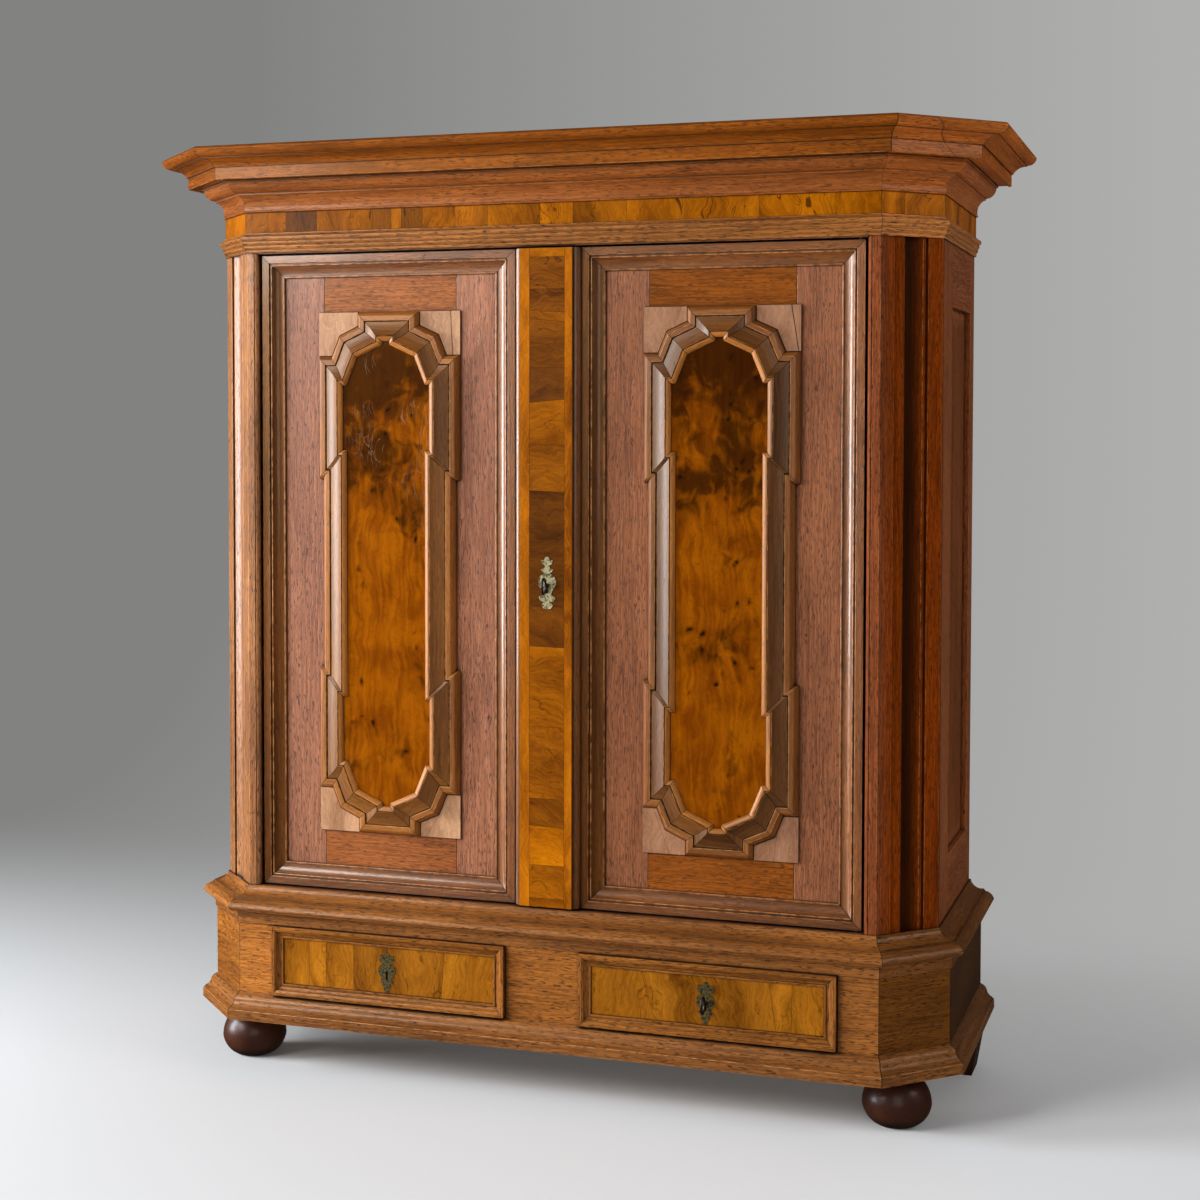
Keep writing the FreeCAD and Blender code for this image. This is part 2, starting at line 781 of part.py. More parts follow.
def cushion_path(x):
    # Clockwise from the front: up the left, over the top, down the right
    upwards, downwards = quadrant, quadrant[::-1]
    spots = [(-u, -v) for u, v in downwards] + [(-u, v) for u, v in upwards]
    spots += [(u, v) for u, v in downwards] + [(u, -v) for u, v in upwards]
    return [vec(x + u, door_middle + v) for u, v in spots]


def rectangle_path(x0, x1, z0, z1):
    return [vec(x0, z0), vec(x0, z1), vec(x1, z1), vec(x1, z0)]


def door_leaf(side, free_edge):
    near, far = side * free_edge, side * door_edge
    joint_near, joint_far = side * (panel_x - rail_joint_half), side * (panel_x + rail_joint_half)
    panel_low_z, panel_high_z = door_middle - panel_opening_half, door_middle + panel_opening_half
    plates = [pivot_plate(side, door_low, door_low + plate_thick),
              pivot_plate(side, door_high - plate_thick, door_high)]
    recess = plates[0].fuse(plates[1])
    stiles = [board(near, joint_near, ground_y, door_back, door_low, door_high),
              board(joint_far, far, ground_y, door_back, door_low, door_high).cut(recess)]
    rails = [board(joint_near, joint_far, ground_y, door_back, door_low, panel_low_z),
             board(joint_near, joint_far, ground_y, door_back, panel_high_z, door_high)]
    panel = board(joint_near, joint_far, ground_y, ground_y + door_panel_board, panel_low_z, panel_high_z)

    edge = rectangle_path(min(near, far), max(near, far), door_low, door_high)
    moulding = [m.cut(recess) for m in on_front(mitred_lengths(edge, True, door_section), ground_y)]

    path = cushion_path(side * panel_x)
    cushion = on_front(mitred_lengths(path, True, cushion_section), ground_y)
    sight = offset_path(path, True, cushion_width)
    burl = front_slab([(p.x, p.y) for p in sight], ground_y, ground_y - burl_rise)
    spandrels = []
    for sx in (-1, 1):
        for sz in (-1, 1):
            corner = [(side * panel_x + sx * u, door_middle + sz * v) for u, v in corner_outline]
            spandrels.append(front_slab(corner, ground_y, ground_y - spandrel_rise))

    pins = [(plates[0], pivot_rod(side, pin_diameter / 2, pin_low, door_low)),
            (plates[1], pivot_rod(side, pin_diameter / 2, door_high, pin_high))]
    pivots = [plate.fuse(pin) for plate, pin in pins]
    return {"door_frame": stiles + rails, "door_panel": [panel], "door_moulding": moulding,
            "cushion_moulding": cushion, "burl_panel": [burl], "spandrels": spandrels, "door_pivots": pivots}


for name, shapes in door_leaf(1, strip_reach).items():
    export("right_" + name, shapes)
left_leaf = door_leaf(-1, -left_free_edge)

# Bolts that hold the left door at its head and its sill

bolt_x = left_free_edge - bolt_inset
bolt_y = door_back + bolt_plate + iron_play


def bolt_guide(z_end, away):
    z0 = z_end + away * bolt_plate_offset
    z1 = z0 + away * bolt_plate_length
    guide = board(bolt_x - bolt_plate_width / 2, bolt_x + bolt_plate_width / 2, door_back,
                  door_back + bolt_plate, z0, z1)
    inner = bolt_width / 2 + iron_play
    outer = inner + staple_thick
    top = bolt_y + bolt_thick + iron_play
    for low in (min(z0, z1), max(z0, z1) - staple_width):
        high = low + staple_width
        arch = board(bolt_x - outer, bolt_x + outer, door_back, top + staple_thick, low, high)
        hollow = board(bolt_x - inner, bolt_x + inner, door_back + bolt_plate, top, low - 1, high + 1)
        guide = guide.fuse(arch.cut(hollow))
    return guide.removeSplitter()


def sliding_bolt(z_end, away):
    bar = board(bolt_x - bolt_width / 2, bolt_x + bolt_width / 2, bolt_y, bolt_y + bolt_thick,
                z_end, z_end + away * bolt_length)
    z_knob = z_end + away * (bolt_plate_offset + bolt_plate_length / 2)
    knob = rod(bolt_knob / 2, vec(bolt_x, bolt_y + bolt_thick, z_knob),
               vec(bolt_x, bolt_y + bolt_thick + bolt_knob_length, z_knob))
    return bar.fuse(knob).removeSplitter()


top_end = door_high - bolt_setback
bottom_end = door_low + bolt_setback
left_leaf["door_pivots"] += [bolt_guide(top_end, -1), bolt_guide(bottom_end, 1)]
left_leaf["door_irons"] = left_leaf.pop("door_pivots")
for name, shapes in left_leaf.items():
    export("left_" + name, shapes)
export("top_bolt", [sliding_bolt(top_end, -1)])
export("bottom_bolt", [sliding_bolt(bottom_end, 1)])

# Keys, keyholes and escutcheons

key_sweep = key_shaft / 2 + key_bit_drop


def keyhole(x, z, bore, slot, drop, y0, y1):
    hole = rod(bore / 2, vec(x, y0, z), vec(x, y1, z))
    return hole.fuse(board(x - slot / 2, x + slot / 2, y0, y1, z - drop, z))


def wood_keyhole(x, z, y0, y1):
    # Square-cut in the wood, where the escutcheon hides it
    return board(x - key_bore / 2, x + key_bore / 2, y0 - 1, y1 + 1, z - key_slot_drop, z + key_bore / 2)


def escutcheon(x, z, z_key, width, height, y_face):
    # Right half of a leafy outline from its lower tip up, each lobe an arc between two notches
    notches = [(0, -1, 0.12), (0.42, -0.66, 0.2), (0.68, -0.28, 0.16), (0.68, 0.3, 0.2), (0.36, 0.68, 0.12),
               (0, 1)]
    leaf = [(x + n[0] * width / 2, z + n[1] * height / 2) + n[2:] for n in notches]
    right = front_slab(leaf, y_face, y_face - plate_metal)
    plate = right.fuse(right.mirror(vec(x, 0, 0), vec(1, 0, 0))).removeSplitter()
    hole = keyhole(x, z_key, key_shaft + 2 * iron_play, key_bit_thick + 2 * iron_play,
                   key_sweep + iron_play, y_face - plate_metal - 1, y_face + 1)
    return plate.cut(hole)


def key_bow(x, y, z):
    # A flat oval ring, standing upright in the plane of the shaft
    half_turn = 0.5
    rings = []
    for inset in (0.0, key_bow_wire):
        deep = key_bow_depth / 2 - inset
        rise = (key_bow_height - key_bow_depth) / 2
        oval = [(deep, -rise), (deep, rise, half_turn), (-deep, rise), (-deep, -rise, half_turn)]
        face = outline_face(oval, vec(x - key_bow_wire / 2, y, z), vec(0, 1), vec(0, 0, 1))
        rings.append(face.extrude(vec(key_bow_wire, 0, 0)))
    return rings[0].cut(rings[1])


def key(x, z, y_plate, y_lock):
    # The bow stands upright in front of the plate, the bit hangs inside the lock
    collar_y = y_plate - iron_play
    root_y = collar_y - key_collar_length
    tip_y = y_lock + lock_wall + key_bit_length + key_shaft / 2
    shaft = rod(key_shaft / 2, vec(x, root_y - key_bow_wire, z), vec(x, tip_y, z))
    collar = rod(key_collar / 2, vec(x, root_y, z), vec(x, collar_y, z))
    bit = board(x - key_bit_thick / 2, x + key_bit_thick / 2, y_lock + lock_wall,
                y_lock + lock_wall + key_bit_length, z - key_sweep, z)
    bow = key_bow(x, root_y - key_bow_depth / 2, z)
    return shaft.fuse([collar, bit, bow])


def lock_case(x0, x1, z0, z1, y_back, slot):
    case = board(x0, x1, y_back, y_back + lock_depth, z0, z1)
    hollow = board(x0 + lock_wall, x1 - lock_wall, y_back - 1, y_back + lock_depth - lock_wall,
                   z0 + lock_wall, z1 - lock_wall)
    return case.cut(hollow).cut(slot)


# Closing strip with its lock, on the right door

strip_core = board(-strip_reach, strip_reach, ground_y, door_back, door_low, door_high)
strip_board = board(-strip_half, strip_half, strip_y, ground_y, door_low, door_high)
bead_section = [(strip_half, strip_y + strip_bead / 2, 0.2), (strip_reach, band_y), (strip_reach, ground_y),
                (strip_half, ground_y)]
strip_beads = both_sides(slab(bead_section, door_low, door_high))
strip_hole = wood_keyhole(keyhole_x, door_key_z, strip_y, door_back)
export("closing_strip", [strip_core.cut(strip_hole), strip_board.cut(strip_hole)])
export("strip_beads", strip_beads)

lock_left = -strip_reach + lock_edge
lock_bolt_z = door_key_z + key_sweep + key_sweep_play
lock_bolt_y = door_back + bolt_plate + iron_play
bolt_slot = board(lock_left - 1, lock_left + lock_wall + 1, lock_bolt_y - iron_play,
                  lock_bolt_y + lock_bolt_thick + iron_play, lock_bolt_z - iron_play,
                  lock_bolt_z + lock_bolt_height + iron_play)
export("door_lock_case", [lock_case(lock_left, lock_left + door_lock_width, door_key_z - door_lock_drop,
                                    door_key_z - door_lock_drop + door_lock_height, door_back, bolt_slot)])
export("door_lock_bolt", [board(lock_left, lock_left + lock_bolt_length, lock_bolt_y,
                                lock_bolt_y + lock_bolt_thick, lock_bolt_z, lock_bolt_z + lock_bolt_height)])
export("door_escutcheon", [escutcheon(keyhole_x, door_key_z + plate_rise, door_key_z, door_plate_width,
                                      door_plate_height, strip_y)])
export("door_key", [key(keyhole_x, door_key_z, strip_y - plate_metal, door_back)])

# Drawers, with the runners, guides and kickers that carry them

side_top = drawer_high - drawer_side_drop
box_end = drawer_back_y + drawer_box_depth
box_near = drawer_near + drawer_gap + drawer_box_inset
box_far = drawer_far - drawer_gap - drawer_box_inset
field_y = drawer_face_y - veneer
drawer_bolt_y = rail_inner_y + iron_play
drawer_bolt_z = drawer_key_z + key_sweep + key_sweep_play
drawer_lock_top = drawer_high - drawer_lock_top_gap

drawer_lip = drawer_moulding_width - sight_lip
drawer_section = [
    (0, 0), (drawer_moulding_width, 0), (drawer_moulding_width - quirk / 2, sight_lip),
    (drawer_lip, sight_lip), (drawer_lip - quirk / 4, sight_lip - quirk),
    (drawer_lip - quirk, sight_lip - quirk, -0.14), (drawer_band + 2 * quirk, drawer_moulding_rise - quirk),
    (drawer_band + quirk, drawer_moulding_rise - quirk),
    (drawer_band + quirk / 2, drawer_moulding_rise - quirk / 2), (drawer_band, drawer_moulding_rise),
    (0, drawer_moulding_rise)]


def drawer(side):
    near, far = side * (drawer_near + drawer_gap), side * (drawer_far - drawer_gap)
    left, right = min(near, far), max(near, far)
    x = side * drawer_x
    hole = wood_keyhole(x, drawer_key_z, field_y, drawer_back_y)
    front = board(left, right, drawer_face_y, drawer_back_y, drawer_low, drawer_high).cut(hole)
    edge = rectangle_path(left, right, drawer_low, drawer_high)
    moulding = on_front(mitred_lengths(edge, True, drawer_section), drawer_face_y)
    field = board(left + drawer_moulding_width, right - drawer_moulding_width, field_y, drawer_face_y,
                  drawer_low + drawer_moulding_width, drawer_high - drawer_moulding_width).cut(hole)
    inner_near, inner_far = side * (box_near + drawer_side_board), side * (box_far - drawer_side_board)
    back_near = box_end - drawer_back_board
    bottom_low = drawer_low + drawer_bottom_lift
    box = [front,
           board(side * box_near, inner_near, drawer_back_y, box_end, drawer_low, side_top),
           board(inner_far, side * box_far, drawer_back_y, box_end, drawer_low, side_top),
           board(inner_near, inner_far, back_near, box_end, bottom_low, side_top),
           board(inner_near, inner_far, drawer_back_y, back_near, bottom_low,
                 bottom_low + drawer_bottom_board)]
    slot = board(x - drawer_bolt_width / 2 - iron_play, x + drawer_bolt_width / 2 + iron_play,
                 drawer_bolt_y - iron_play, drawer_bolt_y + drawer_bolt_thick + iron_play,
                 drawer_lock_top - lock_wall - 1, drawer_lock_top + 1)
    case = lock_case(x - drawer_lock_width / 2, x + drawer_lock_width / 2, drawer_key_z - drawer_lock_drop,
                     drawer_lock_top, drawer_back_y, slot)
    bolt = board(x - drawer_bolt_width / 2, x + drawer_bolt_width / 2, drawer_bolt_y,
                 drawer_bolt_y + drawer_bolt_thick, drawer_bolt_z, drawer_lock_top)
    plate = escutcheon(x, drawer_key_z, drawer_key_z, drawer_plate_width, drawer_plate_height, field_y)
    return {"drawer_box": box, "drawer_moulding": moulding, "drawer_field": [field],
            "drawer_lock_case": [case], "drawer_lock_bolt": [bolt], "drawer_escutcheon": [plate]}


for side_name, side in (("left_", -1), ("right_", 1)):
    for name, shapes in drawer(side).items():
        export(side_name + name, shapes)
export("drawer_key", [key(drawer_x, drawer_key_z, field_y - plate_metal, drawer_back_y)])

slide_bars = []
for outer, inward in ((box_near, 1), (box_far, -1)):
    spans = [(outer, outer + inward * runner_width, z_floor, drawer_low - runner_play),
             (outer, outer + inward * runner_width, side_top + kicker_play, z_base_top),
             (outer - inward * guide_play, outer - inward * (guide_play + guide_width), z_floor,
              z_floor + guide_height)]
    slide_bars += [board(x0, x1, rail_inner_y, back_face, z0, z1) for x0, x1, z0, z1 in spans]
export("drawer_runners", [mirrored(bar) for bar in slide_bars] + slide_bars)
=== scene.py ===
import json
import math
import random

import bmesh
import bpy
from mathutils import Matrix, Vector

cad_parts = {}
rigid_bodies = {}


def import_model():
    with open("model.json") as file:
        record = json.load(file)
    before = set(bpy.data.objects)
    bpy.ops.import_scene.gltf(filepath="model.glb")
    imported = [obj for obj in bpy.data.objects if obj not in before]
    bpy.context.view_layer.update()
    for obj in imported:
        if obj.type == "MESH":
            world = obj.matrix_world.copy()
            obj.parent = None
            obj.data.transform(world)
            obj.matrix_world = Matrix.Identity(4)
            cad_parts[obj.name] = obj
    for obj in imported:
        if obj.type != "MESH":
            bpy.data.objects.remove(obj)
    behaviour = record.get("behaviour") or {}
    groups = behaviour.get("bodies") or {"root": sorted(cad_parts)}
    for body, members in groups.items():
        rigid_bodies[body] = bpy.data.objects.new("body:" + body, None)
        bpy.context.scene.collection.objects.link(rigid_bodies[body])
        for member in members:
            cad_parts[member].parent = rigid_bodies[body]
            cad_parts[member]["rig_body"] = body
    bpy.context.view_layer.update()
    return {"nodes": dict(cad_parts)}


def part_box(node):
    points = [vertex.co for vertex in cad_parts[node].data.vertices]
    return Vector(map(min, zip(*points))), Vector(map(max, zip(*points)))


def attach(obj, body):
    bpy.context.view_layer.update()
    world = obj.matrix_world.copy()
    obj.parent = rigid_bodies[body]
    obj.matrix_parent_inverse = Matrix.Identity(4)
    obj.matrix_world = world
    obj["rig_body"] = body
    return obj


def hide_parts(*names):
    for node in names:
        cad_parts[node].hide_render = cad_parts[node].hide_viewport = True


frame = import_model()
nodes = frame["nodes"]
mm = 0.001
print("frame loaded:", len(nodes), "nodes")


class Look(dict):  # named values, read as attributes
    __getattr__ = dict.__getitem__


# Node helpers: those that take a socket add their node to its tree (id_data)

def paint(red, green, blue):  # a screen colour as the linear colour that shaders take
    parts = [c / 255 for c in (red, green, blue)]
    return tuple(c / 12.92 if c <= 0.04045 else ((c + 0.055) / 1.055) ** 2.4 for c in parts) + (1,)


def put(tree, kind, sockets, **settings):
    node = tree.nodes.new("ShaderNode" + kind)
    for name, value in settings.items():
        setattr(node, name, value)
    for key, value in sockets.items():
        if isinstance(value, bpy.types.NodeSocket):
            tree.links.new(value, node.inputs[key])
        else:
            node.inputs[key].default_value = value
    return node


def calc(operation, a, b=0.0, clamp=False):
    return put(a.id_data, "Math", {0: a, 1: b}, operation=operation, use_clamp=clamp).outputs[0]


def times(a, b, clamp=False):
    return calc("MULTIPLY", a, b, clamp)


def plus(a, b, clamp=False):
    return calc("ADD", a, b, clamp)


def minus(a, b):
    return calc("SUBTRACT", a, b)


def mix(share, a, b):
    return put(share.id_data, "Mix", {0: share, 6: a, 7: b}, data_type="RGBA").outputs[2]


def mixShaders(share, first, second):
    return put(share.id_data, "MixShader", {0: share, 1: first.outputs[0], 2: second.outputs[0]})


def noise(vector, scale=1.0, detail=2.0, distortion=0.0, output=0):
    sockets = {"Vector": vector, "Scale": scale, "Detail": detail, "Distortion": distortion}
    return put(vector.id_data, "TexNoise", sockets).outputs[output]


def addVectors(a, b):
    return put(a.id_data, "VectorMath", {0: a, 1: b}).outputs[0]


def drift(vector, scale, detail):  # a noise vector that lies round zero
    return addVectors(noise(vector, scale, detail, output="Color"), (-0.5, -0.5, -0.5))


def stretch(vector, amounts):
    return put(vector.id_data, "VectorMath", {0: vector, 1: amounts}, operation="MULTIPLY").outputs[0]


def ramp(value, low, high):  # 0 at low, 1 at high, smooth between them
    sockets = {"Value": value, "From Min": low, "From Max": high}
    return put(value.id_data, "MapRange", sockets, interpolation_type="SMOOTHSTEP").outputs[0]


def split(vector):
    return put(vector.id_data, "SeparateXYZ", {0: vector}).outputs


def attribute(tree, name):
    return put(tree, "Attribute", {}, attribute_name=name).outputs


def newGroup(name, inputs, outputs):
    tree = bpy.data.node_groups.new(name, "ShaderNodeTree")
    for direction, sockets in (("INPUT", inputs), ("OUTPUT", outputs)):
        for socket, kind in sockets.items():
            tree.interface.new_socket(name=socket, in_out=direction, socket_type="NodeSocket" + kind)
    return tree, tree.nodes.new("NodeGroupInput").outputs, tree.nodes.new("NodeGroupOutput").inputs


def useGroup(tree, group, sockets):
    return put(tree, "Group", sockets, node_tree=group).outputs


def newMaterial(name, **plain):
    material = bpy.data.materials.new(name)
    material.use_nodes = True
    tree = material.node_tree
    shader = tree.nodes["Principled BSDF"]
    for socket, value in plain.items():
        shader.inputs[socket.replace("_", " ")].default_value = value
    return material, tree, shader.inputs


def addBump(tree, shader, height, distance):
    bump = put(tree, "Bump", {"Height": height, "Distance": distance})
    tree.links.new(bump.outputs[0], shader["Normal"])


def brighten(colour, tone):
    return put(colour.id_data, "HueSaturation", {"Color": colour, "Value": plus(tone, 1.0)}).outputs[0]


# Shared effects

figureLook = Look(
    bendScale=14.0, cloudStretch=(2.4, 15, 15), streakStretch=(9, 300, 300), fleckStretch=(60, 430, 430),
    poreRange=(0.48, 0.36), poreInRings=0.6, poreFloor=0.4, bandStretch=(4, 21, 21), veinLevel=0.56, veinWidth=0.016,
    dentStretch=(55, 120, 120), dentRange=(0.69, 0.73))


def makeWoodFigure(look):
    # Slow clouds, rings round a pith that lies off the board, fine streaks, pores and dark veins along the grain
    tree, start, end = newGroup(
        "woodFigure", {"Grain": "Vector", "Ring Width": "Float", "Wander": "Float", "Swirl": "Float"},
        dict.fromkeys(("Cloud", "Ring", "Streak", "Pore", "Vein", "Dent"), "Float"))
    bend = drift(start["Grain"], look.bendScale, 2.0)
    bend = put(tree, "VectorMath", {0: bend, "Scale": start["Swirl"]}, operation="SCALE").outputs[0]
    grain = addVectors(start["Grain"], bend)
    cloud = noise(stretch(grain, look.cloudStretch), detail=3.0, distortion=0.5)
    away = put(tree, "VectorMath", {0: stretch(grain, (0, 1, 1))}, operation="LENGTH").outputs["Value"]
    bent = plus(away, times(cloud, start["Wander"]))
    turns = times(calc("DIVIDE", bent, start["Ring Width"]), 2 * math.pi)
    ring = plus(times(calc("SINE", turns), 0.5), 0.5)
    streak = noise(stretch(grain, look.streakStretch), detail=3.0)
    fleck = noise(stretch(grain, look.fleckStretch), detail=1.0)
    pore = times(ramp(fleck, *look.poreRange), plus(times(ring, look.poreInRings), look.poreFloor))
    bands = noise(stretch(grain, look.bandStretch), distortion=1.4)
    vein = ramp(calc("ABSOLUTE", minus(bands, look.veinLevel)), look.veinWidth, 0.0)
    dent = ramp(noise(stretch(grain, look.dentStretch)), *look.dentRange)
    for name, socket in dict(Cloud=cloud, Ring=ring, Streak=streak, Pore=pore, Vein=vein, Dent=dent).items():
        tree.links.new(socket, end[name])
    return tree


ageingAndShadeLook = Look(shadeSamples=8, cornerRange=(0.86, 0.42), patchScale=24.0, patchRange=(0.2, 0.6), patchFloor=0.65,
                  jointShare=0.85, spotScale=60.0, spotRange=(0.38, 0.62))


def makeAgeingAndShade(look):
    # Painted shade with old wax and dirt in the corners and hollows, dark joints and quirks, rubbed edges painted
    # paler as wear and highlight
    tree, start, end = newGroup("ageing", {"Color": "Color", "Dirt And Shade Color": "Color", "Rubbed And Highlight Color": "Color",
                                           "Dirt": "Float", "Rubbing": "Float", "Reach": "Float"},
                                {"Color": "Color", "Dirt": "Float"})
    place = put(tree, "TexCoord", {}).outputs["Object"]
    # Painted shade: ambient occlusion darkens corners and hollows, mixed with old wax and dirt
    shade = put(tree, "AmbientOcclusion", {"Distance": start["Reach"]}, samples=look.shadeSamples).outputs["AO"]
    patches = ramp(noise(place, look.patchScale, detail=3.0), *look.patchRange)
    patchy = plus(times(patches, 1 - look.patchFloor), look.patchFloor)
    corner = times(ramp(shade, *look.cornerRange), patchy)
    edge = attribute(tree, "edge")["Fac"]
    joint = times(edge, -1.0, clamp=True)
    dirt = calc("MAXIMUM", times(corner, start["Dirt"]), times(joint, look.jointShare))
    # Rubbed arrises are painted paler, as wear and as highlight
    spots = ramp(noise(place, look.spotScale), *look.spotRange)
    rubbed = times(times(edge, spots, clamp=True), start["Rubbing"])
    colour = mix(rubbed, start["Color"], start["Rubbed And Highlight Color"])
    tree.links.new(mix(dirt, colour, start["Dirt And Shade Color"]), end["Color"])
    tree.links.new(dirt, end["Dirt"])
    return tree


woodFigure = makeWoodFigure(figureLook)
ageing = makeAgeingAndShade(ageingAndShadeLook)


def ageAndShade(tree, shader, colour, look):
    aged = useGroup(tree, ageing, {"Color": colour, "Dirt And Shade Color": look.dirt, "Rubbed And Highlight Color": look.rubbed,
                                   "Dirt": look.dirtShare, "Rubbing": look.rubbing, "Reach": look.reach})
    tree.links.new(aged["Color"], shader["Base Color"])
    return aged["Dirt"]


# Finishes

# In every look the dirt colour and its share also paint shade into corners and hollows, and the rubbed colour and
# rubbing also paint highlights on arrises
oakLook = Look(
    cool=(paint(88, 46, 28), paint(172, 112, 80)), warm=(paint(78, 32, 3), paint(174, 92, 16)), dents=0.5,
    pore=paint(50, 22, 10), dirt=paint(10, 4, 2), rubbed=paint(206, 140, 84), vein=paint(84, 40, 16),
    ringWidth=0.008, wander=0.06, swirl=0.006, clouds=0.8, rings=0.16, streaks=0.95, poreShare=0.7, dirtShare=1.0,
    reach=0.018, rubbing=0.55, rough=0.34, level=0.32, coat=0.1, coatRough=0.14, bump=0.00025, sheen=(1, 0.6, 0.24, 1))
goldenLook = Look(oakLook, cool=(paint(74, 38, 16), paint(176, 118, 72)),
                  warm=(paint(70, 31, 3), paint(182, 108, 30)), dents=0.55, poreShare=0.85, clouds=0.9, streaks=0.8)
# The door mouldings' long reach paints shade deep into their hollows, and their strong rubbing paints highlights on
# the crests
mouldingLook = Look(goldenLook, cool=(paint(56, 26, 10), paint(148, 92, 52)),
                    warm=(paint(54, 21, 2), paint(154, 82, 16)), dirt=paint(16, 6, 1), reach=0.04, rubbing=0.8,
                    level=0.7, coat=0.4, poreShare=0.6)
dullLook = Look(oakLook, cool=(paint(76, 38, 18), paint(154, 92, 58)), warm=(paint(70, 29, 3), paint(162, 84, 16)),
                level=0.1, coat=0.0, rough=0.55, dirtShare=0.5)
# The flutes' reach paints shade into their hollows
fluteLook = Look(dullLook, warm=(paint(66, 20, 1), paint(168, 72, 4)), reach=0.02)
walnutLook = Look(
    oakLook, cool=(paint(50, 18, 1), paint(122, 60, 8)), warm=(paint(94, 43, 1), paint(182, 104, 4)), dents=0.2,
    pore=paint(56, 22, 2), dirt=paint(14, 5, 2), rubbed=paint(190, 116, 30), vein=paint(30, 10, 1),
    ringWidth=0.012, wander=0.12, swirl=0.06, clouds=1.9, rings=0.15, streaks=0.4, poreShare=0.25, dirtShare=0.95,
    reach=0.008, rubbing=0.1, rough=0.36, level=0.1, coat=0.02, bump=0.0001, sheen=(1, 0.5, 0.12, 1))
spandrelLook = Look(walnutLook, cool=(paint(104, 58, 34), paint(166, 112, 80)),
                    warm=(paint(132, 84, 52), paint(212, 164, 122)), level=0.25, coat=0.1, sheen=(1, 1, 1, 1))
fieldLook = Look(walnutLook, warm=(paint(100, 52, 4), paint(196, 124, 26)))
cushionLook = Look(
    oakLook, cool=(paint(74, 36, 14), paint(148, 86, 46)), warm=(paint(92, 46, 8), paint(184, 112, 38)), dents=0.4,
    pore=paint(54, 24, 8), dirt=paint(6, 2, 1), rubbed=paint(232, 168, 96), vein=paint(60, 26, 6),
    ringWidth=0.010, wander=0.08, swirl=0.01, clouds=1.1, rings=0.15, streaks=0.8, poreShare=0.35, reach=0.012,
    rough=0.38, level=0.4, coatRough=0.24, bump=0.00012, sheen=(1, 0.86, 0.7, 1))
plainLook = Look(
    oakLook, cool=(paint(90, 62, 42), paint(160, 122, 86)), warm=(paint(108, 74, 44), paint(188, 144, 96)),
    pore=paint(70, 48, 32), dirt=paint(40, 26, 16), rubbed=paint(190, 156, 116), vein=paint(104, 74, 48),
    ringWidth=0.010, clouds=1.0, rings=0.3, streaks=0.6, poreShare=0.3, dirtShare=0.7, reach=0.03, rubbing=0.25,
    rough=0.62, level=0.3, coat=0.0, coatRough=0.3, bump=0.0003, sheen=(1, 1, 1, 1))
feetLook = Look(
    oakLook, cool=(paint(34, 15, 8), paint(80, 42, 26)), warm=(paint(36, 16, 8), paint(86, 45, 28)), dents=0.3,
    pore=paint(16, 8, 5), dirt=paint(9, 4, 3), rubbed=paint(112, 68, 46), vein=paint(20, 10, 6),
    wander=0.04, swirl=0.01, clouds=1.2, rings=0.06, streaks=0.25, poreShare=0.2, dirtShare=0.6, reach=0.03,
    rubbing=0.3, level=0.2, coat=0.24, coatRough=0.26, bump=0.00012, sheen=(1, 1, 1, 1))
woodWear = Look(streakRough=0.08, dirtRough=0.3, streakHeight=0.5, dentDepth=4)


def makeWood(name, look):
    material, tree, shader = newMaterial(name, Coat_Weight=look.coat, Coat_Roughness=look.coatRough,
                                         Specular_IOR_Level=look.level)
    tone, warmth, veined = split(attribute(tree, "stain")["Vector"])
    grain = attribute(tree, "grain")["Vector"]
    figure = useGroup(tree, woodFigure, {"Grain": grain, "Ring Width": look.ringWidth, "Wander": look.wander,
                                         "Swirl": look.swirl})
    shares = dict(Cloud=look.clouds, Ring=look.rings, Streak=look.streaks)
    level = 0.5 * (1 - sum(shares.values()))
    for part, share in shares.items():
        level = plus(times(figure[part], share), level)
    level = plus(level, 0.0, clamp=True)
    colour = mix(warmth, mix(level, *look.cool), mix(level, *look.warm))
    # The tone also carries painted light and shade set per board
    colour = brighten(colour, tone)
    colour = mix(times(figure["Vein"], veined, clamp=True), colour, look.vein)
    colour = mix(times(figure["Pore"], look.poreShare), colour, look.pore)
    colour = mix(times(figure["Dent"], look.dents), colour, look.dirt)
    dirt = ageAndShade(tree, shader, colour, look)
    tree.links.new(mix(warmth, (1, 1, 1, 1), look.sheen), shader["Specular Tint"])
    worn = plus(times(figure["Streak"], woodWear.streakRough), look.rough)
    tree.links.new(plus(worn, times(dirt, woodWear.dirtRough)), shader["Roughness"])
    height = minus(times(figure["Streak"], woodWear.streakHeight), figure["Pore"])
    height = minus(height, times(figure["Dent"], woodWear.dentDepth * look.dents))
    addBump(tree, shader, height, look.bump)
    return material


burlLook = Look(
    gold=paint(152, 80, 2), amber=paint(112, 51, 1), dark=paint(38, 12, 1), eye=paint(20, 6, 1),
    crazeAndGlint=paint(190, 160, 128), dirt=paint(12, 5, 2), rubbed=paint(152, 80, 2), dirtShare=0.9, rubbing=0.0,
    reach=0.012, flatten=(1, 0, 0.8), driftScale=9.0, driftSize=(0.07, 0, 0.09), threadStretch=(95, 0, 11),
    threadShare=0.45, cloudScale=13.0, bodyRange=(0.36, 0.64), smokeScale=6.5, upperRange=(0.5, 0.95),
    upperSmoke=0.24, mottleScale=34.0, mottleShare=0.5, shadeRange=(0.5, 0.76), shadeShare=0.88, lineScale=16.0,
    lineTurns=120.0, lineRange=(0.5, 1.0), lineShare=0.14, eyeScale=38.0, crowdRange=(0.44, 0.58), crowdShare=0.45,
    fewEyes=0.03, haloRange=(0.42, 0.1), haloShare=0.55, coreRange=(0.2, 0.06), coreShare=0.85,
    crazeStretch=(17, 0, 5), crazeScale=9.0, crazeRange=(0.52, 0.6), crazeWidth=0.016, crazeRise=(0.5, 0.8),
    crazeShare=0.3, bump=0.0002)


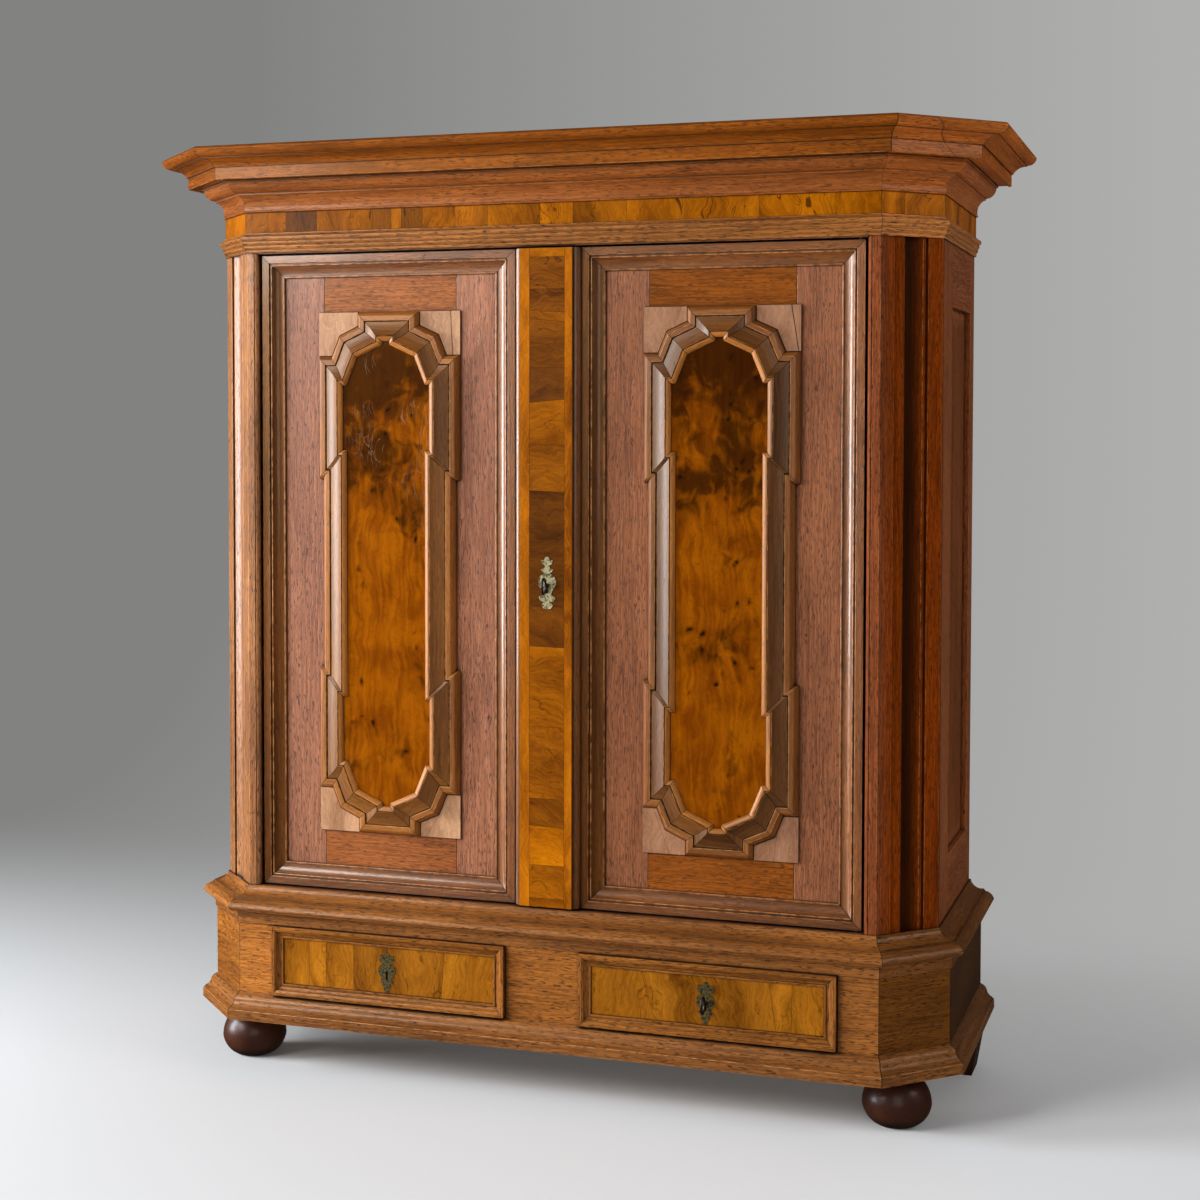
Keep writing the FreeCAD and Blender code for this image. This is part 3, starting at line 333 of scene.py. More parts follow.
def makeBurl(name, look):
    material, tree, shader = newMaterial(name, Roughness=0.26, Coat_Weight=0.06, Coat_Roughness=0.08,
                                         Specular_IOR_Level=0.12, Specular_Tint=(1, 0.6, 0.2, 1))
    stain = split(attribute(tree, "stain")["Vector"])
    tone, cracked = stain[0], stain[2]
    place = put(tree, "TexCoord", {}).outputs["Object"]
    low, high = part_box("left_burl_panel")
    rise = put(tree, "MapRange", {"Value": split(place)[2], "From Min": low.z, "From Max": high.z}).outputs[0]
    flat = stretch(place, look.flatten)
    swirl = stretch(drift(flat, look.driftScale, 3.0), look.driftSize)
    swirl = addVectors(flat, swirl)

    def toward(colour, mask, share, other):
        return mix(times(mask, look[share]), colour, look[other])

    threads = noise(stretch(swirl, look.threadStretch), detail=3.0)
    cloud = noise(swirl, look.cloudScale, detail=4.0, distortion=0.3)
    body = plus(times(threads, look.threadShare), times(cloud, 1 - look.threadShare))
    colour = mix(ramp(body, *look.bodyRange), look.amber, look.gold)
    smoke = noise(swirl, look.smokeScale, detail=5.0, distortion=0.4)
    # The burl is darker towards the top
    smoke = plus(smoke, times(ramp(rise, *look.upperRange), look.upperSmoke))
    mottle = minus(noise(swirl, look.mottleScale, detail=4.0, distortion=0.5), 0.5)
    mottle = times(mottle, look.mottleShare)
    colour = toward(colour, ramp(plus(smoke, mottle), *look.shadeRange), "shadeShare", "dark")
    lines = calc("SINE", times(noise(swirl, look.lineScale), look.lineTurns))
    colour = toward(colour, ramp(lines, *look.lineRange), "lineShare", "dark")
    cells = put(tree, "TexVoronoi", {"Vector": swirl, "Scale": look.eyeScale}).outputs
    crowded = times(ramp(smoke, *look.crowdRange), look.crowdShare)
    chosen = calc("LESS_THAN", split(cells["Color"])[0], plus(crowded, look.fewEyes))
    halo = times(ramp(cells["Distance"], *look.haloRange), chosen)
    core = times(ramp(cells["Distance"], *look.coreRange), chosen)
    colour = toward(toward(colour, halo, "haloShare", "dark"), core, "coreShare", "eye")
    # Crazed lacquer lines, painted pale partly as glints
    veil = put(tree, "TexVoronoi", {"Vector": stretch(swirl, look.crazeStretch)}, feature="DISTANCE_TO_EDGE")
    patch = ramp(noise(flat, look.crazeScale), *look.crazeRange)
    crazing = times(ramp(veil.outputs["Distance"], look.crazeWidth, 0.0), patch)
    crazing = times(crazing, times(ramp(rise, *look.crazeRise), cracked))
    colour = toward(colour, crazing, "crazeShare", "crazeAndGlint")
    ageAndShade(tree, shader, brighten(colour, tone), look)
    addBump(tree, shader, minus(times(crazing, -1.0), core), look.bump)
    return material


metalLook = Look(cloudScale=210.0, cloudRange=(0.42, 0.66), cloudRough=0.25, bumpScale=420.0, bump=0.00025,
                 dirtShare=0.9, rubbing=0.8, reach=0.004)
ironLook = Look(metalLook, base=paint(58, 52, 50), dirt=paint(62, 36, 24), rubbed=paint(128, 124, 122), rough=0.32,
                metal=0.85)
paleBrassLook = Look(metalLook, base=paint(192, 180, 136), dirt=paint(70, 60, 40), rubbed=paint(232, 228, 200),
                     rough=0.2, metal=0.45)
darkBrassLook = Look(metalLook, base=paint(118, 104, 62), dirt=paint(44, 40, 26), rubbed=paint(172, 154, 100),
                     rough=0.32, metal=0.7)


def makeMetal(name, look):
    material, tree, shader = newMaterial(name, Metallic=look.metal)
    place = put(tree, "TexCoord", {}).outputs["Object"]
    cloud = noise(place, look.cloudScale, detail=4.0)
    ageAndShade(tree, shader, mix(ramp(cloud, *look.cloudRange), look.base, look.dirt), look)
    tree.links.new(plus(times(cloud, look.cloudRough), look.rough), shader["Roughness"])
    addBump(tree, shader, noise(place, look.bumpScale, detail=3.0), look.bump)
    return material


oak = makeWood("oakStain", oakLook)
goldenOak = makeWood("goldenOak", goldenLook)
mouldingOak = makeWood("mouldingOak", mouldingLook)
dullOak = makeWood("dullOak", dullLook)
flutedOak = makeWood("flutedOak", fluteLook)
walnut = makeWood("walnutVeneer", walnutLook)
fieldWalnut = makeWood("fieldVeneer", fieldLook)
spandrelWood = makeWood("spandrelVeneer", spandrelLook)
cushionWood = makeWood("cushionWood", cushionLook)
plain = makeWood("plainBoards", plainLook)
feetStain = makeWood("feetStain", feetLook)
burl = makeBurl("burlVeneer", burlLook)
iron = makeMetal("oldIron", ironLook)
paleBrass = makeMetal("paleBrass", paleBrassLook)
darkBrass = makeMetal("darkBrass", darkBrassLook)
print("finishes made")


# Meshes: each solid of a CAD node is copied, merged and dressed as a board of its own

boardRule = Look(
    merge=0.01 * mm, flatAngle=math.radians(0.4), levelRise=0.1, longEdges=10, parallel=0.999,
    sharpAngle=math.radians(24), narrowest=2.2, endGrain=0.15, lengthwise=0.9, smoothAngle=math.radians(48),
    pithStart=(-9, 9), pithAway=(0.08, 0.4), pithAside=(-0.15, 0.15))
farEnd, nearEnd = 0.72, -0.5
toRight, toFront, toTop = Vector((1, 0, 0)), Vector((0, -1, 0)), Vector((0, 0, 1))


def solidsOf(mesh):  # face numbers of each closed solid, which follow one another in a CAD mesh
    spots = [tuple(round(c, 5) for c in v.co) for v in mesh.vertices]
    solids, current, openEdges = [], set(), set()
    for face in mesh.polygons:
        corners = [spots[i] for i in face.vertices]
        for a, b in zip(corners, corners[1:] + corners[:1]):
            if a != b:
                openEdges ^= {frozenset((a, b))}
        current.add(face.index)
        if not openEdges:
            solids.append(current)
            current = set()
    return solids + [current] * bool(current)


def addLayers(bm):  # "edge" is 1 on a rubbed arris, painted paler as wear and highlight, and -1 in a joint or a quirk painted as shade; "grain" and "stain" are each board's own, and "stain" also carries painted light and shade
    bm.faces.layers.float.new("edge")
    bm.verts.layers.float_vector.new("grain")
    bm.verts.layers.float_vector.new("stain")


def edgeLayer(bm):
    return bm.faces.layers.float["edge"]


def stainLayer(bm):
    return bm.verts.layers.float_vector["stain"]


def middleOf(verts):
    return sum((v.co for v in verts), Vector()) / len(verts)


def span(bm, way):  # the least and the greatest reach of the vertices that way
    reaches = [v.co.dot(way) for v in bm.verts]
    return min(reaches), max(reaches)


def darken(bm, faces, spot, normal, width):  # of the faces, those in a strip from the spot on
    flag = edgeLayer(bm)
    for face in faces:
        if 0 < (face.calc_center_median() - spot).dot(normal) < width:
            face[flag] = -1.0


def copySolid(mesh, faceNumbers):
    bm = bmesh.new()
    bm.from_mesh(mesh)
    addLayers(bm)
    bmesh.ops.delete(bm, geom=[f for f in bm.faces if f.index not in faceNumbers], context="FACES")
    bmesh.ops.remove_doubles(bm, verts=bm.verts[:], dist=boardRule.merge)
    bmesh.ops.dissolve_limit(bm, angle_limit=boardRule.flatAngle, verts=bm.verts[:], edges=bm.edges[:])
    return bm


def boardAxis(bm, level=False):  # of the longest edges' directions, the one with the most length of edge along it
    edges = [(e.calc_length(), (e.verts[1].co - e.verts[0].co).normalized()) for e in bm.edges]
    if level:
        edges = [(length, way) for length, way in edges if abs(way.z) < boardRule.levelRise]
    longest = sorted(edges, key=lambda edge: -edge[0])[:boardRule.longEdges]

    def lengthAlong(way):
        return sum(length for length, other in edges if abs(other.dot(way)) > boardRule.parallel)

    return max((way for length, way in longest), key=lengthAlong)


def easeEdges(bm, ease, along):  # rounds the edges, and flags the new faces: arrises are rubbed and painted as highlights, board ends are dark
    edges = []
    for edge in bm.edges:
        if len(edge.link_faces) != 2 or edge.calc_face_angle_signed(0.0) < boardRule.sharpAngle:
            continue
        if min(f.calc_area() for f in edge.link_faces) / edge.calc_length() > boardRule.narrowest * ease:
            edges.append(edge)
    made = bmesh.ops.bevel(bm, geom=edges, offset=ease, offset_type="OFFSET", affect="EDGES", segments=2,
                           profile=0.5, material=-1, clamp_overlap=True, loop_slide=True)["faces"]
    flag = edgeLayer(bm)
    for face in made:
        face[flag] = -1.0 if abs(face.normal.dot(along)) > boardRule.endGrain else 1.0


def layGrain(bm, verts, along, across, stain, rng):
    # Grain runs along x of the "grain" layer; the pith lies off the board, at random
    grain, tint = bm.verts.layers.float_vector["grain"], stainLayer(bm)
    turn = Matrix((along, across, along.cross(across)))
    shift = Vector((rng.uniform(*boardRule.pithStart), rng.choice((-1, 1)) * rng.uniform(*boardRule.pithAway),
                    rng.uniform(*boardRule.pithAside)))
    middle = middleOf(verts)
    for vert in verts:
        vert[grain] = turn @ (vert.co - middle) + shift
        vert[tint] = stain


def pieceName(node):
    first, *others = node.split("_")
    return first + "".join(word.capitalize() for word in others)


def bodyOf(node):
    return nodes[node]["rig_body"]


def addObject(name, data):
    made = bpy.data.objects.new(name, data)
    bpy.context.scene.collection.objects.link(made)
    return made


def toMesh(bm, name):
    mesh = bpy.data.meshes.new(name)
    bm.to_mesh(mesh)
    bm.free()
    return mesh


def append(whole, bm):
    part = toMesh(bm, "part")
    whole.from_mesh(part)
    bpy.data.meshes.remove(part)


def finishPiece(bm, node, material):
    name = pieceName(node)
    mesh = toMesh(bm, name)
    for layer in ("custom_normal", "UVMap"):
        if layer in mesh.attributes:
            mesh.attributes.remove(mesh.attributes[layer])
    mesh.materials.clear()
    mesh.materials.append(material)
    mesh.shade_smooth()
    mesh.set_sharp_from_angle(angle=boardRule.smoothAngle)
    piece = addObject(name, mesh)
    piece.modifiers.new("faceNormals", "WEIGHTED_NORMAL").keep_sharp = True
    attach(piece, bodyOf(node))
    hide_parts(node)


def dressBoards(node, look):
    rng = random.Random(node)
    whole = bmesh.new()
    for index, faceNumbers in enumerate(solidsOf(nodes[node].data)):
        bm = copySolid(nodes[node].data, faceNumbers)
        along = look.along or boardAxis(bm, look.level)
        easeEdges(bm, look.ease, along)
        left, right = span(bm, toRight)
        # Painted light: boards at the far right, at the near left and, below, those running front to back are made
        # lighter or darker by tone for how light falls on them
        tone = look.tone + look.farTone * (right > farEnd and left > 0) + look.nearTone * (right < nearEnd)
        tone += look.sideTone * (abs(along.y) > boardRule.lengthwise)
        warmth = look.warmth + look.railWarmth * (abs(along.x) > boardRule.lengthwise)
        spread = look.spread
        stain = (tone + rng.uniform(-spread, spread), warmth + rng.uniform(-spread, spread), look.veins)
        layGrain(bm, bm.verts[:], along, along.orthogonal().normalized(), stain, rng)
        if look.extra:
            look.extra(bm, index, rng)
        append(whole, bm)
    finishPiece(whole, node, look.wood)


def boards(tone, warmth, spread=0.07, ease=0.7, **more):
    usual = dict(wood=oak, extra=None, veins=0.0, along=None, level=False, farTone=0.0, nearTone=0.0, sideTone=0.0,
                 railWarmth=0.0)
    return Look(usual, tone=tone, warmth=warmth, spread=spread, ease=ease * mm, **more)


crownSplit = Look(spot=Vector((0.87, -0.24, 2.04)), normal=Vector((0.62, 0.35, 0.7)).normalized(), width=1.6 * mm,
                  fromX=0.7, toY=-0.1)


def crownCrack(bm, index, rng):  # a split across the crown's right corner, as two cuts with a dark strip between them
    look = crownSplit
    middle = middleOf(bm.verts)
    if middle.x < look.fromX or middle.y > look.toY:
        return
    for step in (0, 1):
        spot = look.spot + look.normal * look.width * step
        bmesh.ops.bisect_plane(bm, geom=bm.verts[:] + bm.edges[:] + bm.faces[:], plane_co=spot, plane_no=look.normal)
    darken(bm, bm.faces, look.spot, look.normal, look.width)


cushionBead = Look(quirkRise=28 * mm, quirkSlack=0.1 * mm, quirkAngle=-0.3, beadRise=29.2 * mm, beadStart=0.3 * mm,
                   sink=1.2 * mm, stain=Vector((0.12, 1.0, 0)), slope=33 * mm, slopeStain=Vector((-0.42, 0.25, 0)))


def cushionBeads(bm, index, rng):  # the inner bead is golden beside a sunk quirk painted dark as shade, and the slope painted darker as shade
    look = cushionBead
    ground = max(v.co.y for v in bm.verts)
    quirks = [e for e in bm.edges if len(e.link_faces) == 2 and e.calc_face_angle_signed(0.0) < look.quirkAngle
              and all(abs(ground - v.co.y - look.quirkRise) < look.quirkSlack for v in e.verts)]
    flag, tint = edgeLayer(bm), stainLayer(bm)
    stain = bm.verts[:][0][tint].copy()
    for quirk in quirks:
        spot = quirk.verts[0].co.copy()
        along = (quirk.verts[1].co - spot).normalized()
        for face in quirk.link_faces:
            # Painted shade: the quirk's faces are flagged dark
            face[flag] = -1.0
            if max(ground - v.co.y for v in face.verts) < look.beadRise:
                inward = face.calc_center_median() - spot
                inward -= along * inward.dot(along)
                inward.y = 0
                for vert in bm.verts:
                    inside = (vert.co - spot).dot(inward.normalized())
                    if inside > look.beadStart:
                        vert[tint] = look.stain
                    elif inside > -look.slope:
                        # Painted shade: the slope is darkened
                        vert[tint] = stain + look.slopeStain
    for vert in {v for e in quirks for v in e.verts}:
        vert.co.y += look.sink


fluteLightAndShade = Look(front=-222 * mm, flat=Vector((0.08, 0.45, 0)), ridge=0.1, hollow=0.85, depth=11 * mm, deepest=1.3,
                  warmth=1.0, slant=0.3, upright=0.1)


def postLightAndShade(bm, index, rng):  # painted light: the right post's front is painted paler than its fluted chamfer, which faces from the light, and the flutes' hollows painted darkest as shade
    look = fluteLightAndShade
    tint = stainLayer(bm)
    slanted = [f for f in bm.faces if f.normal.x > look.slant and f.normal.y < -look.slant
               and abs(f.normal.z) < look.upright]
    facing = max(slanted, key=lambda f: f.calc_area()).normal.copy()
    reach = span(bm, facing)[1]
    for vert in bm.verts:
        sunk = (reach - vert.co.dot(facing)) / look.depth
        if vert.co.y < look.front:
            vert[tint] = look.flat
        elif sunk < look.deepest:
            # Painted shade: the deeper a vertex lies in a flute, the darker
            vert[tint] = (look.ridge - look.hollow * sunk, look.warmth, 0)


panelLightAndShade = Look(field=Vector((0.1, 0.7, 0)), bevel=Vector((0.7, 0.4, 0)), left=Vector((-0.5, -0.2, 0)),
                  fieldDepth=1.2 * mm)


def paintPanelLightAndShade(bm, index, rng):  # painted light: a panel's field is darker than its bevels, and the left panel is painted darker than the right one, as shade
    tint = stainLayer(bm)
    reach = max(abs(v.co.x) for v in bm.verts) - panelLightAndShade.fieldDepth
    for vert in bm.verts:
        stain = panelLightAndShade["field" if abs(vert.co.x) > reach else "bevel"]
        vert[tint] = stain if vert.co.x > 0 else stain + panelLightAndShade.left


mouldingLightAndShade = Look(left=Vector((-0.35, 0.9, 0)), right=Vector((0.25, 0.45, 0)), railSpan=200 * mm)


def paintMouldingLightAndShade(node):  # painted shade and light: a door's left upright of the moulding is painted darker, the right one lighter
    low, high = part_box(node)

    def stain(bm, index, rng):
        tint = stainLayer(bm)
        left, right = span(bm, toRight)
        if right - left < mouldingLightAndShade.railSpan:
            for vert in bm.verts:
                vert[tint] = mouldingLightAndShade["left" if left < (low.x + high.x) / 2 else "right"]
    return stain


# The far, near and side tones below are painted light and shade: boards at the far right, the near left end block and
# boards running front to back are lit or shaded by tone
oakBoards = {
    "base_end_boards": boards(0.05, 0.95, level=True, farTone=-0.35, sideTone=-0.45, wood=goldenOak),
    "base_front_frame": boards(0.08, 0.75, level=True, nearTone=0.4, wood=goldenOak),
    "plinth_moulding": boards(0.0, 0.6, ease=1.2, farTone=-0.1, wood=goldenOak),
    "waist_moulding": boards(0.0, 0.7, ease=1.2, farTone=-0.1, wood=goldenOak),
    "left_corner_post": boards(0.14, 0.2, wood=goldenOak),
    "right_corner_post": boards(-0.3, 1.0, wood=flutedOak, extra=postLightAndShade),
    "side_frames": boards(-0.1, 0.45, farTone=0.6, wood=dullOak),
    "side_panels": boards(0.15, 0.4, wood=dullOak, extra=paintPanelLightAndShade),
    "door_sill": boards(-0.05, 0.5), "door_head": boards(-0.05, 0.5),
    "architrave_moulding": boards(0.0, 0.6, farTone=1.3, wood=goldenOak),
    "bed_moulding": boards(-0.08, 0.85, ease=1.2, farTone=1.2),
    "crown_moulding": boards(-0.18, 0.95, ease=1.2, farTone=1.3, extra=crownCrack),
    "left_door_frame": boards(0.1, 0.0, ease=1.2, railWarmth=0.7),
    "right_door_frame": boards(0.04, 0.25, ease=1.2, railWarmth=0.75),
    "left_door_panel": boards(0.0, 0.3), "right_door_panel": boards(-0.06, 0.3),
    "left_door_moulding": boards(0.1, 0.4, wood=mouldingOak, extra=paintMouldingLightAndShade("left_door_moulding")),
    "right_door_moulding": boards(0.05, 0.55, wood=mouldingOak, extra=paintMouldingLightAndShade("right_door_moulding")),
    "strip_beads": boards(-0.1, 0.55, wood=mouldingOak),
    "left_drawer_moulding": boards(0.0, 0.8, ease=0.4, wood=goldenOak),
    "right_drawer_moulding": boards(-0.05, 0.8, ease=0.4, wood=goldenOak),
    "left_cushion_moulding": boards(0.0, 0.8, ease=0.6, wood=cushionWood, extra=cushionBeads),
    # The right cushion's lower tone paints shade
    "right_cushion_moulding": boards(-0.15, 0.6, ease=0.6, wood=cushionWood, extra=cushionBeads),
}
plainBoards = {
    "base_floor": boards(-0.1, 0.5), "base_deck": boards(-0.1, 0.5), "back_boards": boards(-0.1, 0.4, 0.1),
    "ceiling_board": boards(0.0, 0.5), "hat_shelf": boards(0.0, 0.5), "peg_rail": boards(0.0, 0.6, ease=0.5),
    "frieze_boards": boards(-0.1, 0.5), "top_boards": boards(-0.15, 0.5), "drawer_runners": boards(-0.1, 0.5),
    "left_drawer_box": boards(0.0, 0.6), "right_drawer_box": boards(0.0, 0.6),
}
ironWork = ["pivot_sockets", "left_door_irons", "right_door_pivots", "door_lock_case", "left_drawer_lock_case",
            "right_drawer_lock_case", "top_bolt", "bottom_bolt", "door_lock_bolt", "left_drawer_lock_bolt",
            "right_drawer_lock_bolt"]

for node, look in oakBoards.items():
    dressBoards(node, look)
for node, look in plainBoards.items():
    dressBoards(node, Look(look, wood=plain))
for node in ironWork:
    dressBoards(node, boards(0.0, 0.5, ease=0.4, wood=iron))
dressBoards("ball_feet", boards(-0.1, 0.5, ease=1.0, along=toTop, wood=feetStain))
print("boards, irons and feet dressed")


# Veneers: the front of a copied board is cut into patches, each with its own stain and grain

veneer = Look(seam=0.35 * mm, depth=0.1 * mm, level=0.05 * mm, facing=0.999, weld=0.001 * mm)


def leaned(way, degrees):
    return Matrix.Rotation(math.radians(degrees), 3, "Y") @ way


def frontFaces(bm, facing, test=lambda middle: True):
    reach = span(bm, facing)[1] - veneer.level
    return [f for f in bm.faces if f.normal.dot(facing) > veneer.facing and f.verts[0].co.dot(facing) > reach
            and test(f.calc_center_median())]


def cutFaces(bm, faces, spot, normal):
    geom = set(faces)
    for face in faces:
        geom.update(face.edges, face.verts)
    bmesh.ops.bisect_plane(bm, geom=list(geom), dist=veneer.weld, plane_co=spot, plane_no=normal)


def layPatch(bm, faces, along, facing, stain, rng):
    if not faces:
        return
    ring = bmesh.ops.inset_region(bm, faces=faces, thickness=veneer.seam, depth=-veneer.depth,
                                  use_even_offset=True, use_boundary=True)["faces"]
    flag = edgeLayer(bm)
    for face in ring:
        face[flag] = -1.0
    verts = list({v for f in faces for v in f.verts})
    layGrain(bm, verts, along, facing.cross(along), stain, rng)


friezeVeneer = Look(
    frontIndex=2, frontJoints=[-670, -625, -548, -411, -366, -341, -291, -213, -137, -15, 60, 181, 470],
    frontTones=[-0.1, 0.1, -0.5, -0.05, -0.35, 0.1, -0.45, 0.1, 0.12, -0.05, 0.05, -0.25, 0.0, 0.1],
    runShares=[0.36], runTones=(-0.3, 0.15), farTone=0.85, lean=24, warmth=(0.7, 1.0), toneWarmth=0.5,
    veins=(0.5, 1.0), planMiddle=0.07)


def friezePatches(bm, index, rng):
    look = friezeVeneer
    middle = middleOf(bm.verts)
    along = boardAxis(bm)
    if along.x + along.y < 0:
        along.negate()
    facing = along.cross(toTop)
    if facing.dot(middle - Vector((0, look.planMiddle, middle.z))) < 0:
        facing.negate()
    low, high = span(bm, along)
    if index == look.frontIndex:
        joints = sorted(x * mm * along.x for x in look.frontJoints)
        tones = look.frontTones
    else:
        joints = [low + share * (high - low) for share in look.runShares]
        tones = [rng.uniform(*look.runTones) for patch in range(len(joints) + 1)]
    for joint in joints:
        cutFaces(bm, frontFaces(bm, facing), along * joint, along)
    for tone, start, end in zip(tones, [low - 1] + joints, joints + [high + 1]):
        faces = frontFaces(bm, facing, lambda c: start < c.dot(along) < end)
        lean = math.radians(rng.uniform(-look.lean, look.lean))
        warmth = tone * look.toneWarmth + rng.uniform(*look.warmth)
        # Patches on the right chamfer are painted lighter, as light
        stain = (tone + look.farTone * (middle.x > farEnd), warmth, rng.uniform(*look.veins))
        layPatch(bm, faces, Matrix.Rotation(lean, 3, facing) @ toTop, facing, stain, rng)


dressBoards("frieze_veneer", boards(-0.1, 0.7, ease=0.15, wood=walnut, extra=friezePatches))

fieldVeneer = Look(lean=14, warmth=(0.62, 0.87), veins=(0.1, 0.6))
drawerFields = dict(
    left_drawer_field=Look(joints=[(0.123, 0), (0.206, 0), (0.34, 0), (0.765, 4)],
                           tones=[0.02, 0.1, 0.06, -0.08, 0.0], tone=0.06),
    right_drawer_field=Look(joints=[(0.25, -16), (0.785, -9), (0.866, 1)],
                            tones=[0.06, -0.1, -0.04, 0.04], tone=0.02))


def fieldPatches(node):
    look = drawerFields[node]
    low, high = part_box(node)

    def cut(bm, index, rng):
        planes = []
        for share, lean in look.joints:
            spot = Vector((low.x + share * (high.x - low.x), 0, (low.z + high.z) / 2))
            planes.append((spot, leaned(toRight, lean)))
        for spot, normal in planes:
            cutFaces(bm, frontFaces(bm, toFront), spot, normal)
        for number, tone in enumerate(look.tones):
            faces = frontFaces(bm, toFront, lambda c: sum((c - s).dot(n) > 0 for s, n in planes) == number)
            along = leaned(toTop, rng.uniform(-fieldVeneer.lean, fieldVeneer.lean))
            stain = (tone + look.tone, rng.uniform(*fieldVeneer.warmth), rng.uniform(*fieldVeneer.veins))
            layPatch(bm, faces, along, toFront, stain, rng)
    return cut


for node in drawerFields:
    dressBoards(node, boards(0.0, 0.7, ease=0.1, wood=fieldWalnut, extra=fieldPatches(node)))

closingStrip = Look(
    plainIndex=0, bandLeft=-37 * mm, bandRight=43 * mm, bandEnd=20 * mm,
    drops=[89, 137, 156, 259, 331, 426, 526, 776, 864, 1039, 1196, 1257, 1342],
    tones=[-0.18, -0.1, 0.0, -0.28, -0.42, 0.05, -0.12, -0.5, -0.36, 0.06, 0.02, -0.1, 0.3, 0.1],
    slopes=[0, 3, 6, 0, -5, 0, 2, 0, 1, 0, 0, 2, 0], lean=25, warmth=(0.6, 0.8), toneWarmth=0.6, veins=(0.2, 0.8),
    sideTone=(0.35, 0.45), sideWarmth=0.75, sideVeins=0.1, endStain=(0.1, 0.85, 0.1))


def stripPatches(bm, index, rng):
    look = closingStrip
    if index == look.plainIndex:
        return
    low, high = span(bm, toTop)
    foot, top = low + look.bandEnd, high - look.bandEnd

    def inBand(c):
        return look.bandLeft < c.x < look.bandRight

    def inField(c):
        return inBand(c) and foot < c.z < top

    for x in (look.bandLeft, look.bandRight):
        cutFaces(bm, frontFaces(bm, toFront), toRight * x, toRight)
    for z in (top, foot):
        cutFaces(bm, frontFaces(bm, toFront, inBand), toTop * z, toTop)
    planes = []
    for drop, slope in zip(look.drops, look.slopes):
        planes.append((toTop * (high - drop * mm), leaned(toTop, slope)))
        cutFaces(bm, frontFaces(bm, toFront, inField), *planes[-1])
    for side in (lambda c: c.x < look.bandLeft, lambda c: c.x > look.bandRight):
        stain = (rng.uniform(*look.sideTone), look.sideWarmth, look.sideVeins)
        layPatch(bm, frontFaces(bm, toFront, side), toTop, toFront, stain, rng)
    for end in (lambda c: inBand(c) and c.z > top, lambda c: inBand(c) and c.z < foot):
        layPatch(bm, frontFaces(bm, toFront, end), toRight, toFront, look.endStain, rng)
    for number, tone in enumerate(look.tones):
        faces = frontFaces(bm, toFront, lambda c: inField(c) and sum((c - s).dot(n) < 0 for s, n in planes) == number)
        along = leaned(toRight, rng.uniform(-look.lean, look.lean))
        stain = (tone, tone * look.toneWarmth + rng.uniform(*look.warmth), rng.uniform(*look.veins))
        layPatch(bm, faces, along, toFront, stain, rng)


dressBoards("closing_strip", boards(-0.1, 0.6, wood=walnut, extra=stripPatches))

# Cracks by corner (right, upper): place across the spandrel, lean in degrees, width in millimetres
spandrelCracks = dict(
    left_spandrels=Look(tone=(0.02, 0.85), cracks={(1, 1): (0.78, -3, 2.0), (1, 0): (0.42, 30, 0.6),
                                                   (0, 0): (0.4, 8, 0.4)}),
    right_spandrels=Look(tone=(-0.08, 0.3), cracks={(1, 1): (0.85, -9, 2.4), (1, 0): (0.5, 7, 0.5),
                                                    (0, 0): (0.45, -20, 0.6)}))


def spandrelPatches(node):
    low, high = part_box(node)
    centre = (low + high) / 2

    def cut(bm, index, rng):
        middle = middleOf(bm.verts)
        crack = spandrelCracks[node].cracks.get((int(middle.x > centre.x), int(middle.z > centre.z)))
        if not crack:
            return
        share, lean, width = crack
        left, far = span(bm, toRight)
        spot = Vector((left + share * (far - left), 0, middle.z))
        normal = leaned(toRight, lean)
        for step in (0, 1):
            cutFaces(bm, frontFaces(bm, toFront), spot + normal * width * mm * step, normal)
        darken(bm, frontFaces(bm, toFront), spot, normal, width * mm)
    return cut


for node, look in spandrelCracks.items():
    dressBoards(node, boards(*look.tone, ease=0.5, along=toTop, wood=spandrelWood, extra=spandrelPatches(node)))
dressBoards("left_burl_panel", boards(-0.06, 0.5, 0.0, ease=0.3, veins=1.0, wood=burl))
dressBoards("right_burl_panel", boards(-0.08, 0.5, 0.0, ease=0.3, wood=burl))
print("veneers laid")


# Escutcheons: half an outline in shares of the half width and half height, mirrored, then raised inside its rim

doorPlate = Look(
    material=paleBrass, halfWidth=21 * mm, halfHeight=57.5 * mm, face=-235.5 * mm, keyDrop=6 * mm,
    outline=[(0, 1), (0.21, 0.965), (0.31, 0.87), (0.62, 0.86), (0.55, 0.75), (0.22, 0.66), (0.34, 0.56),
             (0.69, 0.51), (0.41, 0.42), (0.31, 0.35), (0.62, 0.3), (0.86, 0.21), (1, 0.04), (0.93, -0.08),
             (0.62, -0.24), (0.48, -0.39), (0.45, -0.46), (0.83, -0.5), (0.9, -0.58), (0.69, -0.68),
             (0.31, -0.71), (0.55, -0.79), (0.62, -0.85), (0.41, -0.955), (0, -1)],
    scrolls=[(0, 0.87, 3.2), (0.42, 0.8, 2.2), (0.45, 0.5, 1.8), (0.62, -0.58, 2.6), (0, -0.87, 3.4)],
    pins=[(0, 0.62, 1.6), (0, -0.62, 1.6)])
